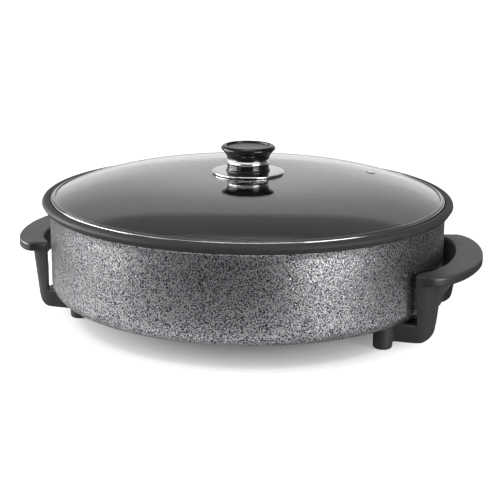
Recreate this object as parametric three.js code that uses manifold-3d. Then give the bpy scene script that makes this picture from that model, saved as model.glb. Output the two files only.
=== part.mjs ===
// Deep round electric pan with a lift-off glass lid, in millimetres, +Z up.
// The origin is on the floor under the middle of the pan, and the two handles lie along X.

import {
  BoxGeometry, BufferAttribute, BufferGeometry, Curve, CylinderGeometry, ExtrudeGeometry, Group,
  LatheGeometry, Matrix4, Mesh, MeshStandardMaterial, Path, Shape, Vector2, Vector3,
} from 'three';
import { mergeVertices } from 'three/addons/utils/BufferGeometryUtils.js';
import Module from 'manifold-3d';

const wasm = await Module();
wasm.setup();

// Clearances
const seatGap = 0.3;
const slipGap = 0.6;
const overrun = 2;

// Facets round a full turn
const panSides = 60;
const knobSides = 32;
const smallSides = 16;
const edgeSteps = 3;
const outlineSteps = 9;
const domeSteps = 6;
const elementRuns = 72;
const elementSectionSides = 8;

// Pan bowl
const wallRadius = 202;
const wallThickness = 3;
const baseHeight = 27;
const baseThickness = 5;
const baseFillet = 14;
const panHeight = 126;

// Pan lip, a rolled bead with a step inside it that carries the lid
const lipOverhang = 8;
const lipDepth = 9.6;
const lipRootWidth = 3;
const lipRound = 4.2;
const lidStepWidth = 3;
const lidStepDepth = 6.5;

// Channel under the base that holds the heating element
const ringInset = 82;
const elementRadius = 4;
const elementBend = 16;
const leadSpacing = 28;
const leadRun = 40;
const channelWall = 4.5;

// Electrical inlet under the base, at the +X handle
const pinRadius = 2.35;
const pinLength = 28;
const insulatorRadius = 3.8;
const insulatorLength = 8;
const sleeveRadius = 5.2;
const sleeveBore = 3.6;
const sleeveLength = 62;
const sleeveEnd = 3;
const saddleWidth = 16;
const saddleLength = 40;
const saddleWall = 2.6;
const guardLength = 34;
const guardBackGap = 2;
const guardHalfWidth = 29;
const guardDepth = 17.7;
const guardWall = 2.6;
const earWidth = 10;
const earLength = 15;
const earThickness = 4;
const earDrop = 6;
const guardBossRadius = 4.6;
const guardScrewRadius = 1.7;
const guardScrewLength = 10.5;
const guardScrewHeadRadius = 3.4;
const guardScrewHeadHeight = 2.2;

// Handle moulding: a flange to grip, a shield wall with a window, two arms and two hollow feet
const gripTop = 78.5;
const gripThickness = 9;
const gripOverhang = 25;
const gripBow = 37.5;
const gripSideWidth = 25;
const gripRound = 2.6;
const gripPower = 1.8;
const gripEndSetback = 17;
const gripEndTaper = 8;
const shieldDepth = 15.5;
const shieldBow = 29.5;
const shieldInset = 3;
const shieldPower = 3.2;
const shieldSlopeShare = 0.06;
const shieldTaperShare = 0.129;
const shieldWall = 2;
const hollowBow = 30.5;
const hollowInset = 10;
const hollowPower = 1.8;
const windowHalfWidth = 63;
const windowFootInset = 12;
const windowFootTop = 28;
const windowFootSetback = 5;
const windowBar = 15;
const windowCorner = 6;
const wallClearance = 4.4;
const armBottom = 8.2;
const armThickness = 3.6;
const cornerRadius = 18;
const cornerSetback = 10;
const footSetback = 43.6;
const footOutset = 10.1;
const footRadius = 9.5;
const footRound = 3;

// Screw that holds each foot to a boss under the base
const bossRadius = 5.6;
const bossLength = 8;
const footScrewHeadRadius = 3.5;
const footScrewHeadHeight = 2.8;
const footScrewPad = 6;
const footScrewRadius = 2;
const footScrewDepth = 11.4;

// Glass lid and its steel rim
const glassThickness = 4;
const domeDrop = 0.5;
const domeEdge = 1.6;
const domeRise = 23;
const domePower = 4;
const glassHoleRadius = 4;
const rimRoom = 1.2;
const rimThickness = 0.8;
const rimFlange = 4.4;

// Steam vent
const ventInset = 82.4;
const ventAlong = 59.8;
const ventBore = 1.9;
const ventTubeRadius = 2.9;
const ventFlangeRadius = 4.6;
const ventFlangeThickness = 0.8;
const ventSeatDepth = 0.5;

// Knob stack on the middle of the glass
const gasketThickness = 0.8;
const gasketRadius = 19;
const skirtOverhang = 8.9;
const skirtThickness = 0.9;
const skirtDrop = 0.8;
const knobBaseHeight = 7.1;
const knobBaseFlare = 1.3;
const knobBaseFlareShare = 0.45;
const knobRingHeight = 4.6;
const knobRingInset = 0.1;
const knobNeckInset = 6.3;
const knobCapHeight = 13.7;
const knobCapRadius = 27.9;
const knobSpigotRadius = 9;
const knobTopRound = 3.4;
const insertInset = 6;
const insertThickness = 1;
const insertRecess = 3.2;
const knobScrewRadius = 2.4;
const knobScrewHeadRadius = 5.5;
const knobScrewHeadHeight = 2.6;
const knobScrewReach = 9;
const washerRadius = 9.5;
const washerThickness = 1.2;

// The cap's flare, as shares of its overhang past the neck and of its height below the top round
const capFlareShares = [[0, 0], [0, 0.1], [0.06, 0.28], [0.33, 0.54], [0.68, 0.78], [1, 1]];

// Surface finishes
const hammeredGrey = new MeshStandardMaterial({ color: 0x9a9c9e, roughness: 0.42, metalness: 0.55 });
const satinBlack = new MeshStandardMaterial({ color: 0x1b1b1c, roughness: 0.42, metalness: 0 });
const glossBlack = new MeshStandardMaterial({ color: 0x0d0d0e, roughness: 0.18, metalness: 0 });
const chrome = new MeshStandardMaterial({ color: 0xe4e6e8, roughness: 0.06, metalness: 1 });
const steel = new MeshStandardMaterial({ color: 0xb4b7ba, roughness: 0.28, metalness: 1 });
const insertGrey = new MeshStandardMaterial({ color: 0x8b8c8d, roughness: 0.35, metalness: 0.7 });
const clearGlass = new MeshStandardMaterial({ color: 0xc9d2d0, roughness: 0.03, metalness: 0 });
const rubber = new MeshStandardMaterial({ color: 0x2a2a2a, roughness: 0.8, metalness: 0 });
const ceramic = new MeshStandardMaterial({ color: 0xe9e6dc, roughness: 0.6, metalness: 0 });

const pan = new Group();
const lid = new Group();

// Turns a closed triangle mesh into a solid, with its faces pointing out
function solidOf(geometry) {
  const bare = geometry.clone();
  bare.deleteAttribute('normal');
  bare.deleteAttribute('uv');
  const merged = mergeVertices(bare);
  const place = merged.getAttribute('position').array;
  const corners = Uint32Array.from(merged.getIndex().array);
  const kept = [];
  for (let i = 0; i < corners.length; i += 3) {
    const [a, b, c] = [corners[i], corners[i + 1], corners[i + 2]];
    if (a !== b && b !== c && c !== a) kept.push(a, b, c);
  }
  let volume = 0;
  for (let i = 0; i < kept.length; i += 3) {
    const [a, b, c] = kept.slice(i, i + 3).map((k) => new Vector3().fromArray(place, 3 * k));
    volume += a.dot(b.cross(c));
  }
  if (volume < 0) kept.reverse();
  return new wasm.Manifold(new wasm.Mesh({
    numProp: 3,
    vertProperties: Float32Array.from(place),
    triVerts: Uint32Array.from(kept),
  }));
}

// Gives a solid back as a mesh geometry
function geometryOf(solid) {
  const mesh = solid.getMesh();
  const geometry = new BufferGeometry();
  geometry.setAttribute('position', new BufferAttribute(mesh.vertProperties, 3));
  geometry.setIndex(new BufferAttribute(mesh.triVerts, 1));
  geometry.computeVertexNormals();
  return geometry;
}

function add(group, name, solid, material) {
  const mesh = new Mesh(geometryOf(solid), material);
  mesh.name = name;
  group.add(mesh);
}

function join(solids) {
  return solids.reduce((whole, next) => whole.add(next));
}

function cut(solid, tools) {
  return tools.reduce((left, tool) => left.subtract(tool), solid);
}

// Revolves pairs of radius and height about the Z axis
function revolve(profile, sides) {
  const points = profile.map(([radius, height]) => new Vector2(radius, height));
  return solidOf(new LatheGeometry(points, sides).rotateX(Math.PI / 2));
}

// A ring's section, closed on itself before it is revolved
function revolveRing(profile, sides) {
  return revolve([...profile, profile[0]], sides);
}

// Points on a quarter or part of a circle, as pairs of radius and height
function arc(centreRadius, centreHeight, radius, fromAngle, toAngle, steps) {
  const points = [];
  for (let i = 0; i <= steps; i += 1) {
    const angle = fromAngle + (toAngle - fromAngle) * i / steps;
    points.push([centreRadius + radius * Math.cos(angle), centreHeight + radius * Math.sin(angle)]);
  }
  return points;
}

// A straight-sided block between two corners
function box(fromX, toX, fromY, toY, fromZ, toZ) {
  const geometry = new BoxGeometry(toX - fromX, toY - fromY, toZ - fromZ);
  return solidOf(geometry.translate((fromX + toX) / 2, (fromY + toY) / 2, (fromZ + toZ) / 2));
}

// An upright round bar or hole between two heights
function post(x, y, radius, fromZ, toZ, sides) {
  const geometry = new CylinderGeometry(radius, radius, toZ - fromZ, sides).rotateX(Math.PI / 2);
  return solidOf(geometry.translate(x, y, (fromZ + toZ) / 2));
}

// A round bar or hole that lies along X
function rod(fromX, toX, y, z, radius, sides) {
  const geometry = new CylinderGeometry(radius, radius, toX - fromX, sides).rotateZ(Math.PI / 2);
  return solidOf(geometry.translate((fromX + toX) / 2, y, z));
}

// A flat outline, given as pairs, pulled up from one height to another with rounded edges
function pull(outline, fromZ, toZ, round) {
  const shape = new Shape(outline.map(([x, y]) => new Vector2(x, y)));
  const geometry = new ExtrudeGeometry(shape, {
    depth: toZ - fromZ - 2 * round,
    steps: 1,
    bevelEnabled: round > 0,
    bevelThickness: round,
    bevelSize: round,
    bevelOffset: -round,
    bevelSegments: edgeSteps,
  });
  return geometry.translate(0, 0, fromZ + round);
}

// Sizes of the pan that follow from the driving ones
const boreRadius = wallRadius - wallThickness;
const floorHeight = baseHeight + baseThickness;
const lipRadius = wallRadius + lipOverhang;
const lipRootRadius = wallRadius + lipRootWidth;
const lipUnderside = panHeight - lipDepth;
const stepHeight = panHeight - lidStepDepth;
const mouthRadius = boreRadius + lidStepWidth;
const seatHeight = baseHeight - seatGap;
const bossBottom = baseHeight - bossLength;
const footScrewSeat = bossBottom - footScrewPad;

// Sizes of the element and the inlet, placed from the pan's wall and base
const elementRingRadius = wallRadius - ringInset;
const elementHeight = seatHeight - elementRadius;
const leadOffset = leadSpacing / 2;
const leadEnd = elementRingRadius + leadRun;
const guardStart = leadEnd + guardBackGap;
const guardEnd = guardStart + guardLength;
const sleeveHeight = seatHeight - sleeveRadius;
const guardBottom = seatHeight - guardDepth;
const earTop = seatHeight - earDrop;
const earBottom = earTop - earThickness;
const guardScrewX = guardStart + earLength / 2;
const guardScrewY = guardHalfWidth + earWidth / 2;

// Sizes of the handles, placed from the pan's wall and the window
const shieldReach = wallRadius + shieldDepth;
const shieldRoot = shieldReach - shieldBow;
const hollowReach = shieldReach - shieldWall;
const hollowRoot = hollowReach - hollowBow;
const gripReach = shieldReach + gripOverhang;
const gripRoot = gripReach - gripBow;
const gripEndReach = gripRoot - gripEndSetback;
const gripHalfLength = windowHalfWidth + gripSideWidth;
const gripEndHalfLength = gripHalfLength - gripEndTaper;
const shieldHalfLength = gripHalfLength - shieldInset;
const hollowHalfLength = shieldHalfLength - hollowInset;
const windowFootHalfWidth = windowHalfWidth - windowFootInset;
const windowFootReach = wallRadius - windowFootSetback;
const windowTop = gripTop - gripThickness - windowBar;
const cornerReach = shieldReach - cornerSetback;
const footAcross = wallRadius - footSetback;
const footAlong = windowHalfWidth + footOutset;

// Sizes of the lid and knob, placed from the step in the pan's lip
const rimRadius = mouthRadius - rimRoom;
const glassRadius = rimRadius - 3 * rimThickness;
const domeSpan = glassRadius + domeEdge;
const domeFoot = panHeight - domeDrop;
const ventAcross = glassRadius - ventInset;
const knobNeckRadius = knobCapRadius - knobNeckInset;
const knobRingRadius = knobNeckRadius - knobRingInset;
const knobBaseRadius = knobRingRadius - knobRingInset;
const skirtRadius = knobCapRadius + skirtOverhang;
const insertRadius = knobCapRadius - insertInset;

// Both sides of the pan, front first
const sides = [{ sign: -1, side: 'front' }, { sign: 1, side: 'rear' }];

// Both ends of the pan, with the inlet's end first
const ends = [{ sign: 1, end: 'right' }, { sign: -1, end: 'left' }];

// Pan bowl with its lip, and under the base the channel, bosses and saddle cast with it
function makePanBody() {
  const filletCentre = wallRadius - baseFillet;
  const innerFillet = baseFillet - wallThickness;
  const bowl = revolve([
    [0, baseHeight],
    ...arc(filletCentre, baseHeight + baseFillet, baseFillet, -Math.PI / 2, 0, edgeSteps),
    [wallRadius, lipUnderside],
    [lipRootRadius, lipUnderside],
    ...arc(lipRadius - lipRound, panHeight - lipRound, lipRound, -Math.PI / 4, Math.PI / 2, edgeSteps),
    [mouthRadius + seatGap, panHeight],
    [mouthRadius, panHeight - seatGap],
    [mouthRadius, stepHeight],
    [boreRadius, stepHeight],
    ...arc(boreRadius - innerFillet, floorHeight + innerFillet, innerFillet, 0, -Math.PI / 2, edgeSteps),
    [0, floorHeight],
  ], panSides);

  const channelEdges = [-1, 1].map((sign) => {
    const near = elementRingRadius + sign * (elementRadius + slipGap);
    const far = near + sign * channelWall;
    return revolveRing([
      [near, elementHeight - elementRadius],
      [far, elementHeight - elementRadius],
      [far, baseHeight + overrun],
      [near, baseHeight + overrun],
    ], panSides);
  });
  const leadHalfWidth = leadOffset + elementBend + elementRadius + slipGap;
  const leadGap = box(0, leadEnd, -leadHalfWidth, leadHalfWidth, 0, baseHeight);
  const channel = join(channelEdges).subtract(leadGap);

  const saddleEnd = guardStart - slipGap;
  const saddle = box(
    saddleEnd - saddleLength, saddleEnd, -saddleWidth / 2, saddleWidth / 2,
    sleeveHeight - sleeveRadius - saddleWall, baseHeight + overrun,
  );
  const sleeveStart = saddleEnd - saddleLength - overrun;
  const saddleBore = rod(sleeveStart, guardStart, 0, sleeveHeight, sleeveRadius + seatGap, smallSides);

  const bosses = [];
  const holes = [];
  for (const { sign } of sides) {
    const guardPost = [guardScrewX, sign * guardScrewY];
    bosses.push(post(...guardPost, guardBossRadius, earTop + seatGap, baseHeight + overrun, smallSides));
    holes.push(post(
      ...guardPost, guardScrewRadius + seatGap, earTop, earBottom + guardScrewLength + seatGap, smallSides,
    ));
    for (const { sign: end } of ends) {
      const footPost = [end * footAcross, sign * footAlong];
      bosses.push(post(...footPost, bossRadius, bossBottom, baseHeight + overrun, smallSides));
      holes.push(post(
        ...footPost, footScrewRadius + seatGap, bossBottom - overrun,
        bossBottom + footScrewDepth + seatGap, smallSides,
      ));
    }
  }
  return cut(join([bowl, channel, saddle.subtract(saddleBore), ...bosses]), holes);
}

// A drawn route held level at one height
class LevelCurve extends Curve {
  constructor(path, height) {
    super();
    this.path = path;
    this.height = height;
  }

  getPoint(share, target = new Vector3()) {
    const { x, y } = this.path.getPointAt(share);
    return target.set(x, y, this.height);
  }
}

// Sheathed heating element: in along one lead, once round the ring and out along the other
function makeHeatingElement() {
  const bendY = leadOffset + elementBend;
  const bendX = Math.sqrt((elementRingRadius + elementBend) ** 2 - bendY ** 2);
  const turn = Math.atan2(bendY, bendX);
  const route = new Path();
  route.moveTo(leadEnd, leadOffset);
  route.lineTo(bendX, leadOffset);
  route.absarc(bendX, bendY, elementBend, -Math.PI / 2, turn - Math.PI, true);
  route.absarc(0, 0, elementRingRadius, turn, 2 * Math.PI - turn, false);
  route.absarc(bendX, -bendY, elementBend, Math.PI - turn, Math.PI / 2, true);
  route.lineTo(leadEnd, -leadOffset);
  const section = new Shape().absarc(0, 0, elementRadius, 0, 2 * Math.PI, false);
  return solidOf(new ExtrudeGeometry(section, {
    steps: elementRuns,
    curveSegments: elementSectionSides / 2,
    extrudePath: new LevelCurve(route, elementHeight),
  }));
}

// A terminal pin and the ceramic bead that holds it clear of the sheath and the guard
const beadStart = leadEnd + seatGap;

function makeTerminalPin(y) {
  return rod(beadStart, beadStart + pinLength, y, elementHeight, pinRadius, smallSides);
}

function makeInsulator(y) {
  const bead = rod(beadStart, beadStart + insulatorLength, y, elementHeight, insulatorRadius, smallSides);
  const bore = rod(
    beadStart - overrun, beadStart + insulatorLength + overrun, y, elementHeight,
    pinRadius + seatGap, smallSides,
  );
  return bead.subtract(bore);
}

// Blind sleeve that takes the thermostat's probe, open toward the handle
function makeProbeSleeve() {
  const mouth = guardStart + guardWall + insulatorLength;
  const shell = rod(mouth - sleeveLength, mouth, 0, sleeveHeight, sleeveRadius, smallSides);
  const bore = rod(
    mouth - sleeveLength + sleeveEnd, mouth + overrun, 0, sleeveHeight, sleeveBore, smallSides,
  );
  return shell.subtract(bore);
}

// Trough round the pins, roofed by the base and open toward the handle's window
function makeSocketGuard() {
  const shell = box(guardStart, guardEnd, -guardHalfWidth, guardHalfWidth, guardBottom, seatHeight);
  const inside = guardHalfWidth - guardWall;
  const hollow = box(
    guardStart + guardWall, guardEnd + overrun, -inside, inside,
    guardBottom + guardWall, seatHeight + overrun,
  );
  const ears = box(
    guardStart, guardStart + earLength, -guardHalfWidth - earWidth, guardHalfWidth + earWidth,
    earBottom, earTop,
  );
  const backHoles = [-leadOffset, leadOffset].map((y) => rod(
    guardStart - overrun, guardStart + guardWall + overrun, y, elementHeight,
    insulatorRadius + seatGap, smallSides,
  ));
  const sleeveHole = rod(
    guardStart - overrun, guardStart + guardWall + overrun, 0, sleeveHeight,
    sleeveRadius + seatGap, smallSides,
  );
  const screwHoles = sides.map(({ sign }) => post(
    guardScrewX, sign * guardScrewY, guardScrewRadius + seatGap,
    earBottom - overrun, earTop + overrun, smallSides,
  ));
  return cut(shell.add(ears), [hollow, ...backHoles, sleeveHole, ...screwHoles]);
}

// A pan-head screw that stands upright with its head below
function makeScrew(headRadius, headHeight, shankRadius, shankLength) {
  const edge = headHeight / 3;
  return new LatheGeometry([
    [0, -headHeight],
    [headRadius - edge, -headHeight],
    [headRadius, edge - headHeight],
    [headRadius, 0],
    [shankRadius, 0],
    [shankRadius, shankLength - edge],
    [shankRadius - edge / 2, shankLength],
    [0, shankLength],
  ].map(([radius, height]) => new Vector2(radius, height)), smallSides).rotateX(Math.PI / 2);
}

// Half of a rounded bow in plan, from the front end over its reach to the rear end
function bow(root, reach, halfLength, power) {
  const points = [];
  for (let i = -outlineSteps; i <= outlineSteps; i += 1) {
    const angle = Math.PI / 2 * i / outlineSteps;
    const across = Math.cos(angle) ** (2 / power);
    const along = Math.sign(angle) * Math.abs(Math.sin(angle)) ** (2 / power);
    points.push([root + (reach - root) * across, halfLength * along]);
  }
  return points;
}

// Leans the shield's outline toward the pan and draws in its ends, more the lower it is
function lean(geometry) {
  const place = geometry.getAttribute('position');
  for (let i = 0; i < place.count; i += 1) {
    const drop = gripTop - place.getZ(i);
    place.setX(i, place.getX(i) - shieldSlopeShare * drop);
    place.setY(i, place.getY(i) * (1 - shieldTaperShare * drop / gripTop));
  }
  return geometry;
}

// One handle moulding, at the +X end: grip flange, shield wall, legs, arms and hollow feet
function makeHandle() {
  const top = gripTop + overrun;
  const shieldOutline = [
    [footAcross, -shieldHalfLength],
    ...bow(shieldRoot, shieldReach, shieldHalfLength, shieldPower),
    [footAcross, shieldHalfLength],
  ];
  const hollowOutline = [
    [0, -hollowHalfLength],
    ...bow(hollowRoot, hollowReach, hollowHalfLength, hollowPower),
    [0, hollowHalfLength],
  ];
  const gripOutline = [
    [gripEndReach, -gripEndHalfLength],
    ...bow(gripRoot, gripReach, gripHalfLength, gripPower),
    [gripEndReach, gripEndHalfLength],
  ];
  const grip = solidOf(pull(gripOutline, gripTop - gripThickness, gripTop, gripRound));
  const shield = solidOf(lean(pull(shieldOutline, armBottom, gripTop - gripRound, 0)));
  const hollow = solidOf(lean(pull(hollowOutline, seatHeight, top, 0)));
  const panRoom = post(0, 0, wallRadius + wallClearance, seatHeight, top, panSides);

  const windowShape = new Shape()
    .moveTo(-windowHalfWidth, armBottom - overrun)
    .lineTo(windowHalfWidth, armBottom - overrun)
    .lineTo(windowHalfWidth, windowTop - windowCorner)
    .absarc(windowHalfWidth - windowCorner, windowTop - windowCorner, windowCorner, 0, Math.PI / 2)
    .lineTo(windowCorner - windowHalfWidth, windowTop)
    .absarc(windowCorner - windowHalfWidth, windowTop - windowCorner, windowCorner, Math.PI / 2, Math.PI)
    .closePath();
  const alongX = new Matrix4().makeBasis(
    new Vector3(0, 1, 0), new Vector3(0, 0, 1), new Vector3(1, 0, 0),
  );
  const fullWindow = solidOf(new ExtrudeGeometry(windowShape, {
    depth: gripReach, curveSegments: edgeSteps, bevelEnabled: false,
  }).applyMatrix4(alongX));
  const window = cut(fullWindow, sides.map(({ sign }) => {
    const side = windowHalfWidth + overrun;
    const [nearY, farY] = sign < 0 ? [-side, -windowFootHalfWidth] : [windowFootHalfWidth, side];
    return box(-overrun, windowFootReach, nearY, farY, 0, windowFootTop);
  }));

  const cornerShape = new Shape()
    .moveTo(cornerReach - cornerRadius, armBottom)
    .absarc(cornerReach - cornerRadius, armBottom + cornerRadius, cornerRadius, -Math.PI / 2, 0)
    .lineTo(gripReach, armBottom + cornerRadius)
    .lineTo(gripReach, armBottom - overrun)
    .lineTo(cornerReach - cornerRadius, armBottom - overrun)
    .closePath();
  const alongY = new Matrix4().makeBasis(
    new Vector3(1, 0, 0), new Vector3(0, 0, 1), new Vector3(0, -1, 0),
  );
  const corner = solidOf(new ExtrudeGeometry(cornerShape, {
    depth: 2 * gripHalfLength, curveSegments: 2 * edgeSteps, bevelEnabled: false,
  }).translate(0, 0, -gripHalfLength).applyMatrix4(alongY));

  const shell = cut(shield.add(grip), [hollow, panRoom, window, corner]);
  const feet = sides.map(({ sign }) => revolve([
    [0, 0],
    ...arc(footRadius - footRound, footRound, footRound, -Math.PI / 2, 0, edgeSteps),
    [footRadius, seatHeight],
    [0, seatHeight],
  ], panSides / 2).translate(footAcross, sign * footAlong, 0));
  const bores = sides.flatMap(({ sign }) => {
    const place = [footAcross, sign * footAlong];
    const innerY = windowFootHalfWidth + armThickness;
    const outerY = shieldHalfLength * (1 - shieldTaperShare) - armThickness;
    const [nearY, farY] = sign < 0 ? [-outerY, -innerY] : [innerY, outerY];
    return [
      post(...place, footScrewHeadRadius + slipGap, -overrun, footScrewSeat, smallSides),
      post(...place, footScrewRadius + seatGap, 0, seatHeight, smallSides),
      post(...place, bossRadius + seatGap, bossBottom - seatGap, seatHeight + overrun, smallSides),
      box(
        footAcross + footRadius, cornerReach - cornerRadius, nearY, farY,
        armBottom - overrun, seatHeight - armThickness,
      ),
    ];
  });
  return cut(join([shell, ...feet]), bores);
}

// Height of the glass's outer face at a radius, flat in the middle and falling toward the rim
function domeHeight(radius) {
  return domeFoot + domeRise * (1 - (radius / domeSpan) ** domePower);
}

// Stands a piece of the steam vent, made on the Z axis, square to the glass at the vent's place
function atVent(geometry) {
  const radius = Math.hypot(ventAcross, ventAlong);
  const slope = domePower * domeRise / domeSpan * (radius / domeSpan) ** (domePower - 1);
  return geometry
    .rotateY(Math.atan(slope))
    .rotateZ(Math.atan2(ventAlong, ventAcross))
    .translate(ventAcross, ventAlong, domeHeight(radius));
}

function upright(radius, fromZ, toZ) {
  return new CylinderGeometry(radius, radius, toZ - fromZ, smallSides)
    .rotateX(Math.PI / 2)
    .translate(0, 0, (fromZ + toZ) / 2);
}

// Domed glass with a hole for the knob's screw and a ground seat round the vent's hole
function makeLidGlass() {
  const top = [];
  for (let i = 0; i <= domeSteps; i += 1) {
    const share = Math.sin(Math.PI / 2 * i / domeSteps);
    const radius = glassHoleRadius + (glassRadius - glassHoleRadius) * share;
    top.push([radius, domeHeight(radius)]);
  }
  const under = top.map(([radius, height]) => [radius, height - glassThickness]).reverse();
  const dome = revolveRing([...top, ...under], panSides);
  const seat = ventFlangeRadius + seatGap;
  return cut(dome, [
    solidOf(atVent(upright(ventTubeRadius + seatGap, -2 * glassThickness, glassThickness))),
    solidOf(atVent(upright(seat, -ventSeatDepth, glassThickness))),
    solidOf(atVent(upright(seat, -2 * glassThickness, ventSeatDepth - glassThickness))),
  ]);
}

// Folded steel band that clasps the edge of the glass and rests on the pan's step
function makeLidRim() {
  const foot = stepHeight + seatGap;
  const inner = rimRadius - rimFlange;
  const back = rimRadius - rimThickness;
  const over = domeHeight(inner) + seatGap;
  const under = domeHeight(inner) - glassThickness - seatGap;
  return revolveRing([
    [back - rimThickness, foot],
    [rimRadius, foot],
    [rimRadius, domeHeight(back) + seatGap],
    [back, domeHeight(back) + seatGap + rimThickness],
    [inner, over + rimThickness],
    [inner, over],
    [back, domeHeight(back) + seatGap],
    [back, domeHeight(back) - glassThickness - seatGap],
    [inner, under],
    [inner, under - rimThickness],
  ], panSides);
}

// Steel eyelet riveted through the glass
function makeSteamVent() {
  const top = ventFlangeThickness - ventSeatDepth + seatGap;
  const bottom = -glassThickness - top;
  const seatTop = seatGap - ventSeatDepth;
  const seatBottom = -glassThickness - seatTop;
  const points = [
    [ventBore, bottom],
    [ventFlangeRadius, bottom],
    [ventFlangeRadius, seatBottom],
    [ventTubeRadius, seatBottom],
    [ventTubeRadius, seatTop],
    [ventFlangeRadius, seatTop],
    [ventFlangeRadius, top],
    [ventBore, top],
    [ventBore, bottom],
  ].map(([radius, height]) => new Vector2(radius, height));
  return solidOf(atVent(new LatheGeometry(points, smallSides).rotateX(Math.PI / 2)));
}

// A flat ring, such as a washer or a gasket
function flatRing(inner, outer, fromZ, toZ, sideCount) {
  return revolveRing([[inner, fromZ], [outer, fromZ], [outer, toZ], [inner, toZ]], sideCount);
}

// Heights of the knob stack, from the glass up
const gasketTop = domeHeight(0) + seatGap + gasketThickness;
const skirtBottom = gasketTop + seatGap;
const skirtTop = skirtBottom + skirtThickness;
const knobBaseBottom = skirtTop + seatGap;
const knobBaseTop = knobBaseBottom + knobBaseHeight;
const knobRingBottom = knobBaseTop + seatGap;
const knobRingTop = knobRingBottom + knobRingHeight;
const capBottom = knobRingTop + seatGap;
const capTop = capBottom + knobCapHeight;

// Heights under the glass, going down to the head of the knob's screw
const glassUnderside = domeHeight(0) - glassThickness;
const lowerGasketBottom = glassUnderside - seatGap - gasketThickness;
const washerBottom = lowerGasketBottom - seatGap - washerThickness;
const screwSeat = washerBottom - seatGap;
const screwBore = knobScrewRadius + seatGap;
const spigotBore = knobSpigotRadius + seatGap;

// Polished saucer that spreads the knob's load over the glass
function makeKnobSkirt() {
  return revolveRing([
    [screwBore, skirtBottom],
    [knobBaseRadius, skirtBottom],
    [skirtRadius, skirtBottom - skirtDrop],
    [skirtRadius, skirtTop - skirtDrop],
    [knobBaseRadius + skirtThickness, skirtTop],
    [screwBore, skirtTop],
  ], knobSides);
}

// Black collar under the knob's ring, flared at its foot
function makeKnobBase() {
  const flareHeight = knobBaseHeight * knobBaseFlareShare;
  const foot = [];
  for (let i = 0; i <= edgeSteps; i += 1) {
    const angle = Math.PI / 2 * i / edgeSteps;
    foot.push([
      knobBaseRadius + knobBaseFlare * (1 - Math.sin(angle)),
      knobBaseBottom + flareHeight * (1 - Math.cos(angle)),
    ]);
  }
  return revolveRing([
    [spigotBore, knobBaseBottom],
    ...foot,
    [knobBaseRadius, knobBaseTop],
    [spigotBore, knobBaseTop],
  ], knobSides);
}

// Flared black cap with a spigot down through the ring and the bead
function makeKnobCap() {
  const flare = capFlareShares.map(([outShare, upShare]) => [
    knobNeckRadius + (knobCapRadius - knobNeckRadius) * outShare,
    capBottom + (knobCapHeight - knobTopRound) * upShare,
  ]);
  return revolve([
    [0, knobBaseBottom + knobScrewReach + seatGap],
    [screwBore, knobBaseBottom + knobScrewReach + seatGap],
    [screwBore, knobBaseBottom],
    [knobSpigotRadius, knobBaseBottom],
    [knobSpigotRadius, capBottom],
    ...flare,
    ...arc(knobCapRadius - knobTopRound, capTop - knobTopRound, knobTopRound, 0, Math.PI / 2, edgeSteps),
    [insertRadius + seatGap, capTop - seatGap],
    [insertRadius + seatGap, capTop - insertRecess],
    [0, capTop - insertRecess],
  ], knobSides);
}

add(pan, 'pan_body', makePanBody(), hammeredGrey);
add(pan, 'heating_element', makeHeatingElement(), steel);
add(pan, 'probe_sleeve', makeProbeSleeve(), steel);
add(pan, 'socket_guard', makeSocketGuard(), satinBlack);
for (const { sign, side } of sides) {
  add(pan, `terminal_pin_${side}`, makeTerminalPin(sign * leadOffset), steel);
  add(pan, `terminal_insulator_${side}`, makeInsulator(sign * leadOffset), ceramic);
  const guardScrew = makeScrew(
    guardScrewHeadRadius, guardScrewHeadHeight, guardScrewRadius, guardScrewLength - seatGap,
  ).translate(guardScrewX, sign * guardScrewY, earBottom - seatGap);
  add(pan, `guard_screw_${side}`, solidOf(guardScrew), steel);
}

const handle = geometryOf(makeHandle());
for (const { sign: endSign, end } of ends) {
  const moulding = new Mesh(handle, satinBlack);
  moulding.name = `handle_${end}`;
  moulding.rotation.z = endSign > 0 ? 0 : Math.PI;
  pan.add(moulding);
  for (const { sign, side } of sides) {
    const screwLength = bossBottom + footScrewDepth - footScrewSeat;
    const footScrew = makeScrew(
      footScrewHeadRadius, footScrewHeadHeight, footScrewRadius, screwLength,
    ).translate(endSign * footAcross, sign * footAlong, footScrewSeat - seatGap);
    add(pan, `foot_screw_${end}_${side}`, solidOf(footScrew), steel);
  }
}

add(lid, 'lid_glass', makeLidGlass(), clearGlass);
add(lid, 'lid_rim', makeLidRim(), steel);
add(lid, 'steam_vent', makeSteamVent(), steel);
add(lid, 'knob_gasket', flatRing(
  screwBore, gasketRadius, gasketTop - gasketThickness, gasketTop, smallSides,
), rubber);
add(lid, 'knob_skirt', makeKnobSkirt(), chrome);
add(lid, 'knob_base', makeKnobBase(), glossBlack);
add(lid, 'knob_ring', flatRing(
  spigotBore, knobRingRadius, knobRingBottom, knobRingTop, knobSides,
), chrome);
add(lid, 'knob_cap', makeKnobCap(), glossBlack);
add(lid, 'knob_insert', post(
  0, 0, insertRadius, capTop - insertRecess + seatGap,
  capTop - insertRecess + seatGap + insertThickness, knobSides,
), insertGrey);
add(lid, 'inner_gasket', flatRing(
  screwBore, washerRadius, lowerGasketBottom, lowerGasketBottom + gasketThickness, smallSides,
), rubber);
add(lid, 'knob_washer', flatRing(
  screwBore, washerRadius, washerBottom, washerBottom + washerThickness, smallSides,
), steel);
add(lid, 'knob_screw', solidOf(makeScrew(
  knobScrewHeadRadius, knobScrewHeadHeight, knobScrewRadius,
  knobBaseBottom + knobScrewReach - screwSeat,
).translate(0, 0, screwSeat)), steel);

const electricPan = new Group();
electricPan.add(pan, lid);

export default electricPan;
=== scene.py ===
"""Round electric pan with a glass lid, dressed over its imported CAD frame."""

import math

import bpy
import numpy as np
from mathutils import Matrix, Vector


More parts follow.
